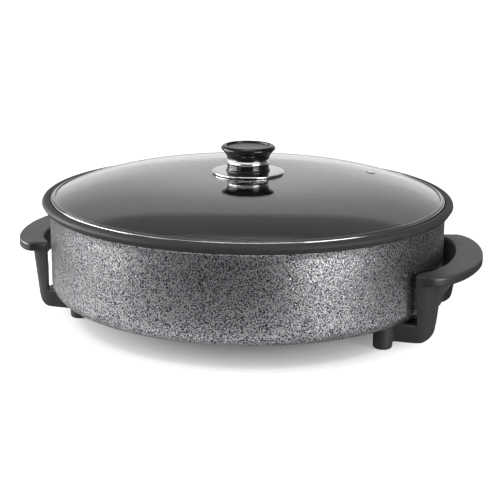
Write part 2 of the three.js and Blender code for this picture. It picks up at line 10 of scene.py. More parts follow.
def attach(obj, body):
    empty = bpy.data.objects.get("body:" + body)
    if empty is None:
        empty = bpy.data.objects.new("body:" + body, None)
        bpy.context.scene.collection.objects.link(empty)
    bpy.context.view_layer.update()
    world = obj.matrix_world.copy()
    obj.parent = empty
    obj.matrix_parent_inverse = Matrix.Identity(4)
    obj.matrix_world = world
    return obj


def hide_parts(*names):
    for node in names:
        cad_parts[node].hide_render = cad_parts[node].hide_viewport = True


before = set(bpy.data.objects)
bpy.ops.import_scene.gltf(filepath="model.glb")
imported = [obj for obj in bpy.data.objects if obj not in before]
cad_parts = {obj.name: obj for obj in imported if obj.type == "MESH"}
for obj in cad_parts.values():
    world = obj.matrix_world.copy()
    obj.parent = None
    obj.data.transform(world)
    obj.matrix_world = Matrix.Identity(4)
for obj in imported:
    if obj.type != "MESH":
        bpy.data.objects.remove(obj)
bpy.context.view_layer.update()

# Lengths below are in millimetres and become metres where a mesh is made
MM = 0.001
# Gap that stands in for contact between seated pieces
SEAT_GAP = 0.3

# Pan shell
WALL_RADIUS = 202.0
WALL_THICKNESS = 3.0
BASE_HEIGHT = 27.0
BASE_THICKNESS = 5.0
BASE_FILLET = 14.0
PAN_HEIGHT = 126.0
LIP_RADIUS = 210.0
LIP_ROUND = 4.2
LIP_UNDERSIDE = 116.8
LIP_EDGE_ROUND = 1.6
LIP_COVE = 2.4
LIP_DRAFT = 3.2
LIP_INNER_ROUND = 1.2
STEP_WIDTH = 3.0
STEP_DEPTH = 6.5
SHELL_SIDES = 288

# Castings, element and inlet under the base
RING_RADIUS = 120.0
ELEMENT_RADIUS = 4.0
ELEMENT_HEIGHT = 22.7
CHANNEL_GAP = 0.6
CHANNEL_WALL = 4.5
CHANNEL_STEPS = 160
LEAD_OFFSET = 14.0
LEAD_BEND = 16.0
LEAD_END = 160.0
CAST_OVERLAP = 0.5
PROBE_HEIGHT = 21.5
SADDLE_BORE = 5.5
SADDLE_HALF_WIDTH = 8.0
SADDLE_HALF_HEIGHT = 7.8
SADDLE_ENDS = (121.4, 161.4)
FOOT_PLACES = [(158.4, -73.1), (158.4, 73.1), (-158.4, -73.1), (-158.4, 73.1)]
GUARD_SCREW_PLACES = [(169.5, -34.0), (169.5, 34.0)]
GUARD_SCREW_SEAT = 16.4
BOSS_CHAMFER = 0.4
# Places, radius and underside of each kind of boss
BOSSES = ((GUARD_SCREW_PLACES, 4.6, 21.0), (FOOT_PLACES, 5.6, 19.0))
HEAD_CHAMFER_SHARE = 0.35
RECESS_SPAN_SHARE = 1.15
SMALL_SIDES = 48

# Handle moulding
GRIP_TOP = 78.5
GRIP_THICKNESS = 9.0
GRIP_ROUND = 1.7
GRIP_FILLET = 3.0
SHIELD_TOP = 77.0
SHIELD_ROUND = 1.6
SHIELD_SLOPE = 0.06
SHIELD_TAPER = 0.129
SEAT_HEIGHT = 26.7
SEAT_REACH = 190.0
WALL_CLEARANCE = 4.4
HOLLOW_FILLET = 1.4
WINDOW_HALF_WIDTH = 63.0
WINDOW_TOP = 54.5
WINDOW_CORNER = 6.0
WINDOW_FILLET = 1.4
WINDOW_FOOT_HALF_WIDTH = 51.0
WINDOW_FOOT_REACH = 197.0
WINDOW_FOOT_TOP = 28.0
WINDOW_FOOT_FILLET = 2.0
ARM_BOTTOM = 7.4
CORNER_RADIUS = 18.0
CORNER_REACH = 208.5
CORNER_LEAN = 0.4
CORNER_FLARE = 0.06
CORNER_FILLET = 2.0
FOOT_RADIUS = 9.5
FOOT_ROUND = 3.0
FOOT_FILLET = 2.5
FOOT_BORE = 4.1
FOOT_BORE_DEPTH = 13.0
FOOT_BORE_FILLET = 0.8
POCKET_X = (168.5, 189.0)
POCKET_Y = (54.8, 70.4)
POCKET_RIM = 3.6
POCKET_FILLET = 1.0
SKIN_LOW = (146.5, -91.0, -1.5)
SKIN_HIGH = (245.0, 91.0, 81.0)
SKIN_STEP = 1.15

# Lid
GLASS_RADIUS = 198.4
GLASS_THICKNESS = 4.0
GLASS_HOLE = 4.0
DOME_FOOT = 125.5
DOME_SPAN = 200.0
DOME_RISE = 23.0
DOME_POWER = 4.0
RIM_RADIUS = 201.1
RIM_THICKNESS = 0.8
RIM_CREST = 0.9
RIM_FLANGE = 4.2
RIM_BEAD = 0.9
RIM_GROOVE = 0.8
RIM_GROOVE_DEPTH = 0.5
VENT_PLACE = (116.0, 59.8)

# Knob, from the glass up
KNOB_SIDES = 160
GASKET_BOTTOM = DOME_FOOT + DOME_RISE + SEAT_GAP
SKIRT_BOTTOM = GASKET_BOTTOM + 1.1
SKIRT_TOP = SKIRT_BOTTOM + 0.9
KNOB_BASE_BOTTOM = SKIRT_TOP + SEAT_GAP
KNOB_BASE_TOP = KNOB_BASE_BOTTOM + 7.1
KNOB_RING_BOTTOM = KNOB_BASE_TOP + SEAT_GAP
KNOB_RING_TOP = KNOB_RING_BOTTOM + 4.6
COLLAR_BORE = 9.3
CAP_BOTTOM = KNOB_RING_TOP + SEAT_GAP
CAP_TOP = CAP_BOTTOM + 13.7
CAP_RADIUS = 27.9
CAP_TOP_ROUND = 3.4
CAP_CORE = 9
INSERT_RADIUS = 21.9
INSERT_RECESS = 3.2
SCREW_BORE = 2.7
SCREW_BORE_DEPTH = 9.3
SCREW_REACH = 9
UNDER_GLASS = DOME_FOOT + DOME_RISE - GLASS_THICKNESS
KNOB_SCREW_SEAT = UNDER_GLASS - 2.9

# Camera, in degrees, metres and pixels
CAMERA_TURN = 16.03
CAMERA_LIFT = 14.57
CAMERA_ROLL = 0.60
CAMERA_DISTANCE = 1.34242
CAMERA_TARGET = (0, 0, 0.080)
SENSOR_WIDTH = 36
FRAME_PIXELS = 500
FOCAL_PIXELS = 1290.38
CENTER_PIXEL = (247.35, 236.81)

# Floor, in millimetres
FLOOR_HALF = 9000
FLOOR_COLOR = (0.35, 0.35, 0.36)
FLOOR_NEAR_COLOR = (0.34, 0.34, 0.35)
FLOOR_FAR_COLOR = (0.07, 0.07, 0.075)


def lerp(a, b, share):
    return a + (b - a) * share


def add_object(name, data):
    made = bpy.data.objects.new(name, data)
    bpy.context.scene.collection.objects.link(made)
    return made


# Nodes for shaders and shapes


def fill(tree, node, inputs):
    """Fills inputs with values, sockets, the first output of nodes, or each of a list of nodes."""
    for key, value in inputs.items():
        for item in value if isinstance(value, list) else [value]:
            if isinstance(item, bpy.types.Node):
                item = item.outputs[0]
            if isinstance(item, bpy.types.NodeSocket):
                tree.links.new(item, node.inputs[key])
            else:
                node.inputs[key].default_value = item
    return node


def place_node(tree, kind, inputs=None, **settings):
    """Adds a node, sets its properties and fills its inputs."""
    made = tree.nodes.new(kind)
    for name, value in settings.items():
        setattr(made, name, value)
    return fill(tree, made, inputs or {})


def start_tree(kind, name, inputs, outputs):
    """A node group, its named inputs and its output node. A socket's kind is given, or follows its value."""
    tree = bpy.data.node_groups.new(name, kind)
    for label, value in inputs.items():
        plain = value if isinstance(value, str) else {int: "Int", float: "Float"}[type(value)]
        socket = tree.interface.new_socket(label, in_out="INPUT", socket_type="NodeSocket" + plain)
        if plain != value:
            socket.default_value = value
    for label, plain in outputs.items():
        tree.interface.new_socket(label, in_out="OUTPUT", socket_type="NodeSocket" + plain)
    return tree, tree.nodes.new("NodeGroupInput").outputs, tree.nodes.new("NodeGroupOutput")


def calc(tree, operation, *values):
    return place_node(tree, "ShaderNodeMath", dict(enumerate(values)), operation=operation)


def calc_vector(tree, operation, *values):
    return place_node(tree, "ShaderNodeVectorMath", dict(enumerate(values)), operation=operation)


def along(tree, vector, direction):
    """How far a vector goes in a direction."""
    return calc_vector(tree, "DOT_PRODUCT", vector, direction).outputs["Value"]


def map_range(tree, value, low, high, to_low=0.0, to_high=1.0, **settings):
    return place_node(tree, "ShaderNodeMapRange", {
        "Value": value, "From Min": low, "From Max": high, "To Min": to_low, "To Max": to_high}, **settings)


def add_noise(tree, scale, detail, **more):
    where = place_node(tree, "ShaderNodeTexCoord").outputs["Object"]
    inputs = {"Vector": where, "Scale": scale, "Detail": detail, **more}
    return place_node(tree, "ShaderNodeTexNoise", inputs)


def mix_colors(tree, mask, first, second):
    """Colour that goes from the first to the second with a mask."""
    ends = [(*end, 1) if isinstance(end, tuple) else end for end in (first, second)]
    mix = place_node(tree, "ShaderNodeMix", {0: mask, 6: ends[0], 7: ends[1]}, data_type="RGBA")
    return mix.outputs[2]


# Finishes


def make_grain_group():
    """Normal of a fine moulded or sprayed texture."""
    tree, given, outside = start_tree("ShaderNodeTree", "surface grain", {
        "Size": 0.001, "Strength": 0.2, "Depth": 0.0001}, {"Normal": "Vector"})
    noise = add_noise(tree, calc(tree, "DIVIDE", 1.0, given["Size"]), 2.0)
    bump = place_node(tree, "ShaderNodeBump", {
        "Height": noise, "Strength": given["Strength"], "Distance": given["Depth"]})
    fill(tree, outside, {"Normal": bump})
    return tree


def make_speckle_group():
    """Hammered two-tone spray: bright flakes that run together on a dark ground."""
    tree, given, outside = start_tree("ShaderNodeTree", "hammered speckle", {
        "Size": 0.0015, "Balance": 0.5, "Sharpness": 0.1}, {"Mask": "Float", "Height": "Float"})
    scale = calc(tree, "DIVIDE", 1.0, given["Size"])
    veins = add_noise(tree, scale, 0.6, Roughness=0.5, Distortion=0.9)
    drift = add_noise(tree, calc(tree, "MULTIPLY", scale, 0.14), 1.0)
    middle = calc(tree, "ADD", given["Balance"], map_range(tree, drift, 0.3, 0.7, -0.02, 0.02))
    low = calc(tree, "SUBTRACT", middle, given["Sharpness"])
    high = calc(tree, "ADD", middle, given["Sharpness"])
    mask = map_range(tree, veins, low, high, interpolation_type="SMOOTHSTEP")
    fill(tree, outside, {"Mask": mask, "Height": veins})
    return tree


def make_wear_group():
    """Rubbed edges: a mask that is strong on outer corners, broken up by noise."""
    flat = 0.51
    tree, given, outside = start_tree("ShaderNodeTree", "rubbed edges", {
        "Reach": 0.04, "Breakup": 0.02}, {"Mask": "Float"})
    shape = place_node(tree, "ShaderNodeNewGeometry").outputs["Pointiness"]
    corner = map_range(tree, shape, flat, calc(tree, "ADD", flat, given["Reach"]))
    noise = add_noise(tree, calc(tree, "DIVIDE", 1.0, given["Breakup"]), 3.0)
    fill(tree, outside, {"Mask": calc(tree, "MULTIPLY", corner, map_range(tree, noise, 0.35, 0.65))})
    return tree


def make_smudge_group():
    """Handling marks: a roughness that drifts between two values."""
    tree, given, outside = start_tree("ShaderNodeTree", "handling smudges", {
        "Size": 0.03, "Lowest": 0.3, "Highest": 0.4}, {"Roughness": "Float"})
    noise = add_noise(tree, calc(tree, "DIVIDE", 1.0, given["Size"]), 3.0, Roughness=0.6)
    fill(tree, outside, {
        "Roughness": map_range(tree, noise, 0.3, 0.7, given["Lowest"], given["Highest"])})
    return tree


GRAIN = make_grain_group()
SPECKLE = make_speckle_group()
WEAR = make_wear_group()
SMUDGE = make_smudge_group()


def use_group(tree, group, **inputs):
    return place_node(tree, "ShaderNodeGroup", inputs, node_tree=group)


def start_finish(name, color, roughness, metallic=0.0):
    material = bpy.data.materials.new(name)
    material.use_nodes = True
    material.diffuse_color = (*color, 1)
    tree = material.node_tree
    surface = fill(tree, tree.nodes["Principled BSDF"], {
        "Base Color": (*color, 1), "Roughness": roughness, "Metallic": metallic})
    return material, tree, surface


def make_moulded_finish(name, color, worn, roughness, grain_size, grain_strength, sheen=0.5):
    """Moulded plastic with a spark-eroded grain, handling smudges and slightly rubbed edges."""
    material, tree, surface = start_finish(name, color, roughness[0])
    wear = use_group(tree, WEAR, Reach=0.06, Breakup=0.012)
    fill(tree, surface, {
        "Specular IOR Level": sheen, "Base Color": mix_colors(tree, wear, color, worn),
        "Roughness": use_group(tree, SMUDGE, Lowest=roughness[0], Highest=roughness[1]),
        "Normal": use_group(tree, GRAIN, Size=grain_size, Strength=grain_strength, Depth=0.00012)})
    return material


def make_metal_finish(name, color, roughness, grain_size, grain_strength):
    """Bare or plated metal with drifting gloss and fine lines."""
    material, tree, surface = start_finish(name, color, roughness[0], metallic=1.0)
    fill(tree, surface, {
        "Roughness": use_group(tree, SMUDGE, Size=0.018, Lowest=roughness[0], Highest=roughness[1]),
        "Normal": use_group(tree, GRAIN, Size=grain_size, Strength=grain_strength, Depth=0.00004)})
    return material


def make_hammered_finish():
    """Silver-grey hammered spray on cast aluminium."""
    material, tree, surface = start_finish("hammered silver spray", (0.4, 0.4, 0.41), 0.34, 1.0)
    speckle = use_group(tree, SPECKLE, Size=0.00118, Balance=0.49, Sharpness=0.045)
    fine = use_group(tree, SPECKLE, Size=0.0009, Balance=0.5, Sharpness=0.1)
    ground = mix_colors(tree, fine, (0.018, 0.019, 0.024), (0.13, 0.136, 0.15))
    bump = place_node(tree, "ShaderNodeBump", {
        "Height": speckle.outputs["Height"], "Strength": 0.3, "Distance": 0.0004})
    fill(tree, surface, {
        "Base Color": mix_colors(tree, speckle, ground, (1.0, 1.0, 1.0)),
        "Roughness": map_range(tree, speckle, 0.0, 1.0, 0.34, 0.23), "Normal": bump})
    return material


def make_glass_finish():
    material, tree, surface = start_finish("clear lid glass", (0.9, 0.93, 0.92), 0.0)
    fill(tree, surface, {"Transmission Weight": 1.0, "IOR": 1.52})
    return material


hammered_spray = make_hammered_finish()
black_coating = make_moulded_finish(
    "black non-stick coating", (0.013, 0.013, 0.0135), (0.03, 0.03, 0.03), (0.34, 0.42), 0.0008, 0.10)
# The lip's coating is the lining's black non-stick made twice as light, as painted light on the lip
lip_coating_painted_light = make_moulded_finish(
    "black lip coating", (0.026, 0.026, 0.026), (0.05, 0.05, 0.05), (0.52, 0.6), 0.0008, 0.08, 0.2)
cast_base = make_metal_finish("bare cast base", (0.46, 0.46, 0.47), (0.42, 0.55), 0.0014, 0.4)
satin_phenolic = make_moulded_finish(
    "satin black phenolic", (0.022, 0.022, 0.0225), (0.05, 0.05, 0.05), (0.36, 0.44), 0.0007, 0.16)
gloss_phenolic = make_moulded_finish(
    "polished black phenolic", (0.006, 0.006, 0.0065), (0.02, 0.02, 0.02), (0.09, 0.15), 0.004, 0.02, 0.25)
chrome_plate = make_metal_finish("chrome plate", (0.86, 0.87, 0.88), (0.035, 0.07), 0.012, 0.012)
# The saucer's plating is the ring's chrome made darker: painted shade on the saucer
saucer_chrome_painted_shade = make_metal_finish("saucer plating", (0.72, 0.72, 0.715), (0.05, 0.09), 0.012, 0.012)
bright_steel = make_metal_finish("bright steel band", (0.56, 0.565, 0.57), (0.12, 0.18), 0.0011, 0.04)
dull_steel = make_metal_finish("brushed steel flange", (0.27, 0.275, 0.28), (0.1, 0.16), 0.0011, 0.05)
zinc_steel = make_metal_finish("zinc plated steel", (0.62, 0.63, 0.64), (0.28, 0.4), 0.0013, 0.1)
burnt_steel = make_metal_finish("heat-browned sheath", (0.23, 0.2, 0.17), (0.4, 0.55), 0.0016, 0.2)
insert_metal = make_metal_finish("satin grey disc", (0.2, 0.203, 0.207), (0.3, 0.4), 0.0009, 0.12)
fired_ceramic = make_moulded_finish(
    "fired ceramic", (0.8, 0.78, 0.72), (0.7, 0.66, 0.58), (0.55, 0.65), 0.0006, 0.15)
soft_rubber = make_moulded_finish(
    "matt rubber", (0.02, 0.02, 0.02), (0.04, 0.04, 0.04), (0.7, 0.8), 0.0005, 0.2)
clear_glass = make_glass_finish()


# Meshes from points


def make_object(name, points, faces, finishes, finish_of=None, sharp=False):
    """A mesh object at the origin, from points in millimetres, with one finish per face."""
    mesh = bpy.data.meshes.new(name)
    mesh.from_pydata((np.asarray(points, float) * MM).tolist(), [], faces)
    for finish in finishes:
        mesh.materials.append(finish)
    if finish_of is not None:
        mesh.polygons.foreach_set("material_index", finish_of)
    mesh.polygons.foreach_set("use_smooth", [not sharp] * len(mesh.polygons))
    mesh.update()
    return add_object(name, mesh)


def arc(center, radius, start, end, steps):
    """Points on part of a circle, with its angles in degrees."""
    angles = [math.radians(lerp(start, end, i / steps)) for i in range(steps + 1)]
    return [(center[0] + radius * math.cos(a), center[1] + radius * math.sin(a)) for a in angles]


def turn(name, runs, finishes, sides):
    """Turns a section about Z. The section is runs of (points, finish number), each a smooth stretch."""
    points, faces, finish_of = [], [], []
    angles = np.linspace(0, 2 * math.pi, sides, endpoint=False)
    cosines, sines = np.cos(angles), np.sin(angles)

    def ring(radius, height):
        start = len(points)
        if radius < 1e-6:
            points.append((0, 0, height))
            return [start] * sides
        points.extend(zip(radius * cosines, radius * sines, [height] * sides))
        return list(range(start, start + sides))

    for section, finish in runs:
        kept = [spot for k, spot in enumerate(section) if k == 0 or math.dist(spot, section[k - 1]) > 1e-4]
        rings = [ring(radius, height) for radius, height in kept]
        for low, high in zip(rings, rings[1:]):
            for i in range(sides):
                j = (i + 1) % sides
                corners = [low[i], low[j], high[j], high[i]]
                face = [c for k, c in enumerate(corners) if c != corners[k - 1]]
                if len(face) > 2:
                    faces.append(face)
                    finish_of.append(finish)
    return make_object(name, points, faces, finishes, finish_of)


def round_corner(before, corner, after, radius, steps=4):
    """Points that round the corner of a section."""
    a, b, c = (np.array(p, float) for p in (before, corner, after))
    into, out = (a - b) / np.linalg.norm(a - b), (c - b) / np.linalg.norm(c - b)
    half = math.acos(np.clip(into @ out, -1, 1)) / 2
    reach = radius / math.tan(half)
    start, end = b + into * reach, b + out * reach
    bisector = (into + out) / np.linalg.norm(into + out)
    center = b + bisector * radius / math.sin(half)
    rays = [(start - center) * (1 - i / steps) + (end - center) * (i / steps) for i in range(steps + 1)]
    return [tuple(center + ray / np.linalg.norm(ray) * radius) for ray in rays]


def rounded_section(corners, radii):
    """A closed section with its corners rounded, as one run of points."""
    found = []
    for i, (corner, radius) in enumerate(zip(corners, radii)):
        if radius == 0:
            found.append(tuple(corner))
        else:
            found += round_corner(corners[i - 1], corner, corners[(i + 1) % len(corners)], radius)
    return found + [found[0]]


def smooth_through(knots, steps):
    """Curve through points, with a smooth tangent at each."""
    knots = np.array(knots, float)
    padded = np.vstack([2 * knots[0] - knots[1], knots, 2 * knots[-1] - knots[-2]])
    found = []
    for a, b, c, d in zip(padded, padded[1:], padded[2:], padded[3:]):
        for i in range(steps):
            t = i / steps
            found.append(tuple(0.5 * (2 * b + (c - a) * t + (2 * a - 5 * b + 4 * c - d) * t * t
                                      + (3 * b - a - 3 * c + d) * t ** 3)))
    return found + [tuple(knots[-1])]


def loft(name, loops, closed):
    """Cast piece through matching loops of points, closed on itself or with both ends capped."""
    layers, count = len(loops), len(loops[0])
    faces = []
    for layer in range(layers if closed else layers - 1):
        low, high = layer * count, (layer + 1) % layers * count
        for i in range(count):
            j = (i + 1) % count
            faces.append((low + i, low + j, high + j, high + i))
    if not closed:
        faces.append(tuple(reversed(range(count))))
        faces.append(tuple(range((layers - 1) * count, layers * count)))
    return make_object(name, sum(loops, []), faces, [cast_base], sharp=True)


def weld(name, pieces):
    """Joins loose meshes into one object."""
    bpy.ops.object.select_all(action="DESELECT")
    for piece in pieces:
        piece.select_set(True)
    bpy.context.view_layer.objects.active = pieces[0]
    bpy.ops.object.join()
    pieces[0].name = name
    pieces[0].data.name = name
    return pieces[0]


def finish_piece(piece, body, slot, *nodes):
    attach(piece, body)
    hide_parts(*nodes)


# Pan shell


def make_pan_shell():
    """Bowl of the pan: coated wall, black lip and lining, and bare base underneath."""
    bore = WALL_RADIUS - WALL_THICKNESS
    floor = BASE_HEIGHT + BASE_THICKNESS
    outer_center = (WALL_RADIUS - BASE_FILLET, BASE_HEIGHT + BASE_FILLET)
    inner_round = BASE_FILLET - WALL_THICKNESS
    inner_center = (bore - inner_round, floor + inner_round)
    lip_center = (LIP_RADIUS - LIP_ROUND, PAN_HEIGHT - LIP_ROUND)
    step = PAN_HEIGHT - STEP_DEPTH
    underside = [(r, BASE_HEIGHT) for r in (0, 60, 120, 170, outer_center[0])]
    bottom_edge = arc(outer_center, BASE_FILLET, -90, 0, 16)
    wall = [(WALL_RADIUS, h) for h in np.linspace(outer_center[1], LIP_UNDERSIDE - LIP_COVE, 12)]
    cove = arc((WALL_RADIUS + LIP_COVE, LIP_UNDERSIDE - LIP_COVE), LIP_COVE, 180, 90, 5)
    lip = [cove[-1]] + round_corner(
        cove[-1], (LIP_RADIUS - LIP_DRAFT, LIP_UNDERSIDE), (LIP_RADIUS, lip_center[1]), LIP_EDGE_ROUND)
    lip += arc(lip_center, LIP_ROUND, 0, 90, 12)
    lip += round_corner(
        lip[-1], (bore + STEP_WIDTH, PAN_HEIGHT), (bore + STEP_WIDTH, step), LIP_INNER_ROUND)
    rebate = [(bore + STEP_WIDTH, step), (bore, step)]
    lining = [(bore, h) for h in np.linspace(step, inner_center[1], 10)]
    lining += arc(inner_center, inner_round, 0, -90, 12)
    floor_run = [(r, floor) for r in (inner_center[0], 150, 100, 50, 0)]
    runs = [(underside, 2), (bottom_edge + wall + cove, 0), (lip, 3), ([lip[-1], rebate[0]], 1),
            (rebate, 1), (lining, 1), (floor_run, 1)]
    return turn("pan_shell", runs, [hammered_spray, black_coating, cast_base, lip_coating_painted_light], SHELL_SIDES)


# Handle moulding


def bow(root, reach, half_length, power, steps=72):
    """Rounded bow in plan, from its front end over its reach to its rear end."""
    angles = np.linspace(-math.pi / 2, math.pi / 2, steps + 1)
    across = np.cos(angles).clip(0) ** (2 / power)
    along_y = np.sign(angles) * np.abs(np.sin(angles)) ** (2 / power)
    return np.column_stack([root + (reach - root) * across, half_length * along_y])


def with_back(curve, back, half_length):
    """Closes a bow with a straight back at some X."""
    return np.vstack([[back, -half_length], curve, [back, half_length]])


def grid_places(low, counts, step):
    """Points of a grid, with one axis of the result for each of its own."""
    axes = [start + step * np.arange(count) for start, count in zip(low, counts)]
    return np.stack(np.meshgrid(*axes, indexing="ij"), -1)


class Outline:
    """Signed distance to a closed outline in plan, tabled on a grid and read between its points."""

    low = (130.0, -110.0)
    step = 0.5
    count = (250, 441)

    def __init__(self, points):
        place = grid_places(self.low, self.count, self.step)
        nearest = np.full(place.shape[:2], 1e9)
        inside = np.zeros(place.shape[:2], bool)
        for start, end in zip(points, np.roll(points, -1, axis=0)):
            side = end - start
            if side @ side < 1e-9:
                continue
            offset = place - start
            share = np.clip(offset @ side / (side @ side), 0, 1)
            gap = offset - share[..., None] * side
            nearest = np.minimum(nearest, np.einsum("ijk,ijk->ij", gap, gap))
            crosses = (start[1] > place[..., 1]) != (end[1] > place[..., 1])
            if start[1] != end[1]:
                level = start[0] + (place[..., 1] - start[1]) * side[0] / side[1]
                inside ^= crosses & (place[..., 0] < level)
        self.table = np.sqrt(nearest) * np.where(inside, -1, 1)

    def __call__(self, x, y):
        u = np.clip((x - self.low[0]) / self.step, 0, self.count[0] - 1.001)
        v = np.clip((y - self.low[1]) / self.step, 0, self.count[1] - 1.001)
        i, j = u.astype(int), v.astype(int)
        u, v = u - i, v - j
        t = self.table
        return ((t[i, j] * (1 - u) + t[i + 1, j] * u) * (1 - v)
                + (t[i, j + 1] * (1 - u) + t[i + 1, j + 1] * u) * v)


GRIP_OUTLINE = Outline(with_back(bow(205, 242.5, 88, 1.8), 188, 80))
SHIELD_OUTLINE = Outline(with_back(bow(188, 217.5, 85, 3.2), 158.4, 85))
HOLLOW_OUTLINE = Outline(with_back(bow(185, 215.0, 75, 2.0), 100, 75))


def blend_min(a, b, width):
    """Union of two distances with a fillet."""
    share = np.clip(0.5 + 0.5 * (b - a) / width, 0, 1)
    return b + (a - b) * share - width * share * (1 - share)


def blend_max(a, b, width):
    return -blend_min(-a, -b, width)


def slab(z, low, high):
    return np.maximum(low - z, z - high)


def rounded_pair(a, b, radius):
    """Where two distances meet at an outer corner, rounded to a radius."""
    a, b = a + radius, b + radius
    return np.minimum(np.maximum(a, b), 0) + np.hypot(np.maximum(a, 0), np.maximum(b, 0)) - radius


def handle_distance(p):
    """Signed distance to the handle moulding at the +X end, in millimetres."""
    x, y, z = p[:, 0], p[:, 1], p[:, 2]
    drop = GRIP_TOP - z
    leaned = x + SHIELD_SLOPE * drop
    drawn = y / (1 - SHIELD_TAPER * np.clip(drop, 0, GRIP_TOP) / GRIP_TOP)
    half = GRIP_THICKNESS / 2
    grip = rounded_pair(GRIP_OUTLINE(x, y), np.abs(z - (GRIP_TOP - half)) - half, GRIP_ROUND)
    shield = rounded_pair(SHIELD_OUTLINE(leaned, drawn), slab(z, ARM_BOTTOM, SHIELD_TOP), SHIELD_ROUND)
    body = blend_min(grip, shield, GRIP_FILLET)

    hollow = np.minimum(HOLLOW_OUTLINE(leaned, drawn), np.hypot(x, y) - WALL_RADIUS - WALL_CLEARANCE)
    body = blend_max(body, -np.maximum(hollow, SEAT_HEIGHT - z), HOLLOW_FILLET)

    arm_block = np.maximum(
        np.maximum(x - WINDOW_FOOT_REACH, z - WINDOW_FOOT_TOP), WINDOW_FOOT_HALF_WIDTH - np.abs(y))
    window = rounded_pair(np.abs(y) - WINDOW_HALF_WIDTH, z - WINDOW_TOP, WINDOW_CORNER)
    window = blend_max(window, -arm_block, WINDOW_FOOT_FILLET)
    body = blend_max(body, -window, WINDOW_FILLET)

    above = np.maximum(z - ARM_BOTTOM - CORNER_RADIUS, 0)
    reach = CORNER_REACH + CORNER_LEAN * above + CORNER_FLARE * above ** 2
    corner = rounded_pair(x - reach, ARM_BOTTOM - z, CORNER_RADIUS)
    body = blend_max(body, corner, CORNER_FILLET)

    for foot_x, foot_y in FOOT_PLACES[:2]:
        from_axis = np.hypot(x - foot_x, y - foot_y)
        peg = np.maximum(rounded_pair(from_axis - FOOT_RADIUS, -z, FOOT_ROUND), z - SEAT_HEIGHT)
        body = blend_min(body, peg, FOOT_FILLET)
        bore = np.maximum(from_axis - FOOT_BORE, z - FOOT_BORE_DEPTH)
        body = blend_max(body, -bore, FOOT_BORE_FILLET)
    body = np.maximum(body, np.where(x < SEAT_REACH, z - SEAT_HEIGHT, -1e3))
    pocket = np.maximum(
        np.maximum(slab(x, *POCKET_X), slab(np.abs(y), *POCKET_Y)), z - SEAT_HEIGHT + POCKET_RIM)
    return blend_max(body, -pocket, POCKET_FILLET)


def skin(distance, low, high, step):
    """Mesh of the surface where a distance is zero: one point in each grid cell that it crosses."""
    counts = [int(math.ceil((b - a) / step)) + 1 for a, b in zip(low, high)]
    field = distance(grid_places(low, counts, step).reshape(-1, 3)).reshape(counts)
    inside = field < 0
    cells = [n - 1 for n in counts]
    total = np.zeros((*cells, 3))
    crossed = np.zeros(cells, int)

    def at(values, corner):
        return values[tuple(slice(c, c + n) for c, n in zip(corner, cells))]

    for first in np.ndindex(2, 2, 2):
        for axis in range(3):
            if first[axis]:
                continue
            second = tuple(c + (k == axis) for k, c in enumerate(first))
            a, b = at(field, first), at(field, second)
            hit = at(inside, first) != at(inside, second)
            share = np.where(hit, a / np.where(a == b, 1, a - b), 0)
            for k in range(3):
                total[..., k] += np.where(hit, first[k] + (share if k == axis else 0), 0)
            crossed += hit
    used = crossed > 0
    number = np.full(cells, -1)
    number[used] = np.arange(used.sum())
    index = np.argwhere(used)
    points = (index + total[used] / crossed[used][:, None]) * step + np.array(low)
    nudge = 0.05
    for _ in range(3):
        value = distance(points)
        slope = np.stack([
            distance(points + np.eye(3)[k] * nudge) - distance(points - np.eye(3)[k] * nudge)
            for k in range(3)], -1) / (2 * nudge)
        size = np.maximum(np.einsum("ij,ij->i", slope, slope), 0.25)
        points -= np.clip(value / size, -0.5 * step, 0.5 * step)[:, None] * slope
    faces = []
    for axis in range(3):
        one, two = [k for k in range(3) if k != axis]
        lead = [slice(1, n - 1) for n in counts]
        lead[axis] = slice(0, counts[axis] - 1)
        after = list(lead)
        after[axis] = slice(1, counts[axis])
        near, far = inside[tuple(lead)], inside[tuple(after)]
        for wanted, flip in ((near & ~far, False), (far & ~near, True)):
            place = np.argwhere(wanted) + np.array([s.start for s in lead])
            around = []
            for back_one, back_two in ((1, 1), (0, 1), (0, 0), (1, 0)):
                cell = place.copy()
                cell[:, one] -= back_one
                cell[:, two] -= back_two
                around.append(number[tuple(cell.T)])
            quads = np.stack(around, -1)
            faces.append(quads[:, ::-1] if flip != (axis == 1) else quads)
    return points, np.vstack(faces).tolist()


def add_handles():
    points, faces = skin(handle_distance, SKIN_LOW, SKIN_HIGH, SKIN_STEP)
    for side, sign in (("right", 1), ("left", -1)):
        turned = points * np.array([sign, sign, 1])
        piece = make_object(f"{side}_handle_moulding", turned, faces, [satin_phenolic])
        finish_piece(piece, "pan", "satin_black", f"handle_{side}")


# Shape trees for the glass, the element and the screws


def start_shape_tree(name, sizes):
    """A geometry tree with named sizes and a finish."""
    return start_tree(
        "GeometryNodeTree", name, {"Geometry": "Geometry", **sizes, "Finish": "Material"},
        {"Geometry": "Geometry"})


def end_shape_tree(tree, given, outside, geometry):
    real = place_node(tree, "GeometryNodeRealizeInstances", {0: geometry})
    painted = place_node(tree, "GeometryNodeSetMaterial", {"Geometry": real, "Material": given["Finish"]})
    fill(tree, outside, {"Geometry": painted})
    return tree


def grow(name, tree, sizes, finish, points=(), edges=()):
    """Runs a geometry tree on a few points and keeps the result as a plain mesh."""
    seed = bpy.data.meshes.new(name + " seed")
    seed.from_pydata([tuple(np.array(p) * MM) for p in points], list(edges), [])
    holder = add_object(name + " seed", seed)
    modifier = holder.modifiers.new("shape", "NODES")
    modifier.node_group = tree
    values = {**sizes, "Finish": finish}
    for item in tree.interface.items_tree:
        if item.in_out == "INPUT" and item.name in values:
            modifier[item.identifier] = values[item.name]
    made = bpy.data.meshes.new_from_object(holder.evaluated_get(bpy.context.evaluated_depsgraph_get()))
    bpy.data.objects.remove(holder)
    made.name = name
    return add_object(name, made)


